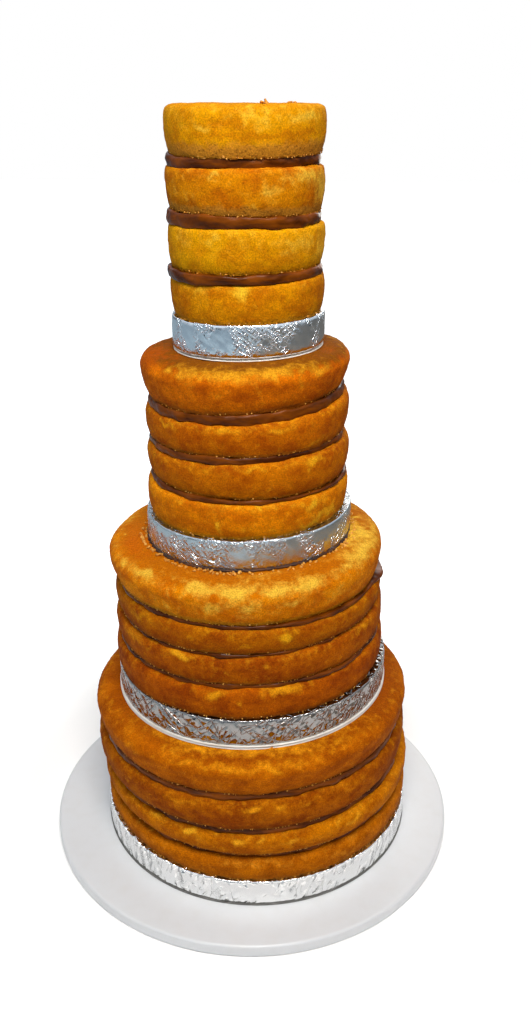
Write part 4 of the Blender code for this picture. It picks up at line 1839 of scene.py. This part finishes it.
@dataclass
class Studio:
    """The pale floor, the soft lights and the camera of the photograph's view."""

    frame_px: tuple[int, int] = (531, 1024)
    focal_px: float = 950.0
    camera_at: tuple[float, float, float] = (0.0119, -0.8128, 0.6969)
    pitch_down: float = 23.68
    roll: float = -0.38
    sensor_mm: float = 36.0
    glow_m: tuple[float, float] = (0.24, 0.55)
    pool_m: tuple[float, float] = (0.33, 0.7)
    floor_m: float = 8.0
    side_m: float = 0.5
    aim_m: tuple[float, float, float] = (0.0, 0.0, 0.35)
    # Each light's name, place and side in metres, watts and colour
    lamps: tuple[tuple[str, tuple[float, float, float], float, float, str], ...] = (
        ("key_softbox", (0.04, -0.8, 1.65), 0.6, 25.0, "fffaf2"),
        ("left_fill", (-1.5, -0.5, 1.1), 0.6, 0.5, "c4ecff"),
        ("right_fill", (1.5, -0.6, 1.1), 0.6, 1.7, "ffe8d0"),
        ("back_fill", (0.4, 1.5, 0.8), 0.8, 6.0, "fffaf2"),
    )

    def floor(self) -> None:
        """Make the pale floor, lit to white away from the cake for the camera alone."""
        mesh = bpy.data.meshes.new("studio_floor")
        reach = self.floor_m
        corners = [(-reach, -reach, 0.0), (reach, -reach, 0.0), (reach, reach, 0.0), (-reach, reach, 0.0)]
        mesh.from_pydata(corners, [], [(0, 1, 2, 3)])
        material, tree, shader = new_material("matt white studio paper")
        shader.inputs["Roughness"].default_value = 0.9
        shader.inputs["Specular IOR Level"].default_value = 0.1
        place = add_node(tree, "ShaderNodeTexCoord").outputs["Object"]
        away = add_node(tree, "ShaderNodeVectorMath", {0: place}, operation="LENGTH").outputs["Value"]
        shade, glow = (
            add_node(
                tree, "ShaderNodeMapRange", {"Value": away}, {"From Min": near, "From Max": far},
                interpolation_type="SMOOTHSTEP",
            ).outputs["Result"]
            for near, far in (self.pool_m, self.glow_m)
        )
        split = add_node(tree, "ShaderNodeSeparateXYZ", {0: place})
        side = add_node(
            tree, "ShaderNodeMapRange", {"Value": split.outputs["X"]},
            {"From Min": -self.side_m, "From Max": self.side_m},
        )
        far = add_node(
            tree, "ShaderNodeMix", {"Factor": side.outputs["Result"]},
            {"A": linear("c4d4dc"), "B": linear("8c857c")}, data_type="RGBA",
        )
        tone = add_node(
            tree, "ShaderNodeMix", {"Factor": shade, "B": far.outputs["Result"]}, {"A": linear("fbfbfb")},
            data_type="RGBA",
        )
        tree.links.new(tone.outputs["Result"], shader.inputs["Base Color"])
        seen = add_node(tree, "ShaderNodeLightPath").outputs["Is Camera Ray"]
        shown = add_node(tree, "ShaderNodeMath", {0: glow, 1: seen}, operation="MULTIPLY")
        shader.inputs["Emission Color"].default_value = linear("ffffff")
        tree.links.new(shown.outputs["Value"], shader.inputs["Emission Strength"])
        floor = place_piece("studio_floor", mesh, material)

    def light(
        self, name: str, at: tuple[float, float, float], size: float, watts: float, colour: str,
    ) -> None:
        """Hang one soft square light that faces the cake.

        Args:
            name: The light's name.
            at: Its place in metres.
            size: Its side in metres.
            watts: Its power.
            colour: Its sRGB hex colour.
        """
        lamp = bpy.data.lights.new(name, "AREA")
        lamp.size = size
        lamp.energy = watts
        lamp.color = linear(colour)[:3]
        obj = bpy.data.objects.new(name, lamp)
        obj.location = at
        aim = Vector(self.aim_m) - Vector(at)
        obj.rotation_euler = aim.to_track_quat("-Z", "Y").to_euler()
        bpy.context.scene.collection.objects.link(obj)

    def room(self) -> None:
        """Set a room that is dim at eye level, with pale panes, and pale overhead."""
        world = bpy.data.worlds.new("pale room")
        bpy.context.scene.world = world
        world.use_nodes = True
        tree = world.node_tree
        sky = tree.nodes["Background"]
        direction = add_node(tree, "ShaderNodeTexCoord").outputs["Generated"]
        split = add_node(tree, "ShaderNodeSeparateXYZ", {0: direction})
        height = add_node(
            tree, "ShaderNodeMapRange", {"Value": split.outputs["Z"]}, {"From Min": 0.0, "From Max": 0.55},
            interpolation_type="SMOOTHSTEP",
        )
        panes = add_node(
            tree, "ShaderNodeTexNoise", {"Vector": direction},
            {"Scale": 2.6, "Detail": 1.0, "Distortion": 0.6},
        )
        bright = add_node(
            tree, "ShaderNodeMapRange", {"Value": panes.outputs["Fac"]},
            {"From Min": 0.44, "From Max": 0.58, "To Min": 0.0, "To Max": 1.0},
            interpolation_type="SMOOTHSTEP",
        )
        eye_level = add_node(
            tree, "ShaderNodeMix", {"Factor": bright.outputs["Result"]},
            {"A": linear("3a3e44"), "B": linear("b4bcc4")}, data_type="RGBA",
        )
        tone = add_node(
            tree, "ShaderNodeMix", {"Factor": height.outputs["Result"], "A": eye_level.outputs["Result"]},
            {"B": linear("e8eef6")}, data_type="RGBA",
        )
        path = add_node(tree, "ShaderNodeLightPath")
        shown = add_node(
            tree, "ShaderNodeMix", {"Factor": path.outputs["Is Camera Ray"], "A": tone.outputs["Result"]},
            {"B": linear("ffffff")}, data_type="RGBA",
        )
        plain = add_node(
            tree, "ShaderNodeMath", {0: path.outputs["Is Camera Ray"], 1: path.outputs["Is Glossy Ray"]},
            operation="MAXIMUM",
        )
        strength = add_node(
            tree, "ShaderNodeMapRange", {"Value": plain.outputs["Value"]}, {"To Min": 0.56, "To Max": 1.0},
        )
        tree.links.new(shown.outputs["Result"], sky.inputs["Color"])
        tree.links.new(strength.outputs["Result"], sky.inputs["Strength"])
        bpy.context.scene.view_settings.view_transform = "Standard"

    def camera(self) -> None:
        """Set up the camera where the photograph was taken from."""
        pitch, roll = math.radians(self.pitch_down), math.radians(self.roll)
        ahead = Vector((0.0, math.cos(pitch), -math.sin(pitch)))
        up = Vector((0.0, math.sin(pitch), math.cos(pitch)))
        right = Vector((1.0, 0.0, 0.0))
        across = right * math.cos(roll) - up * math.sin(roll)
        rise = right * math.sin(roll) + up * math.cos(roll)
        lens = bpy.data.cameras.new("camera")
        lens.sensor_width = self.sensor_mm
        lens.lens = self.focal_px / max(self.frame_px) * self.sensor_mm
        camera = bpy.data.objects.new("camera", lens)
        turn = Matrix((across, rise, -ahead)).transposed()
        camera.matrix_world = Matrix.Translation(self.camera_at) @ turn.to_4x4()
        bpy.context.scene.collection.objects.link(camera)
        bpy.context.scene.camera = camera

    def build(self) -> None:
        """Set up the whole studio."""
        self.floor()
        for lamp in self.lamps:
            self.light(*lamp)
        self.room()
        self.camera()


def main() -> None:
    """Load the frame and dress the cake."""
    logging.basicConfig(level=logging.INFO, format="%(message)s")
    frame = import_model()
    Studio().build()
    Cake(frame["nodes"]).build()


if __name__ == "__main__":
    main()
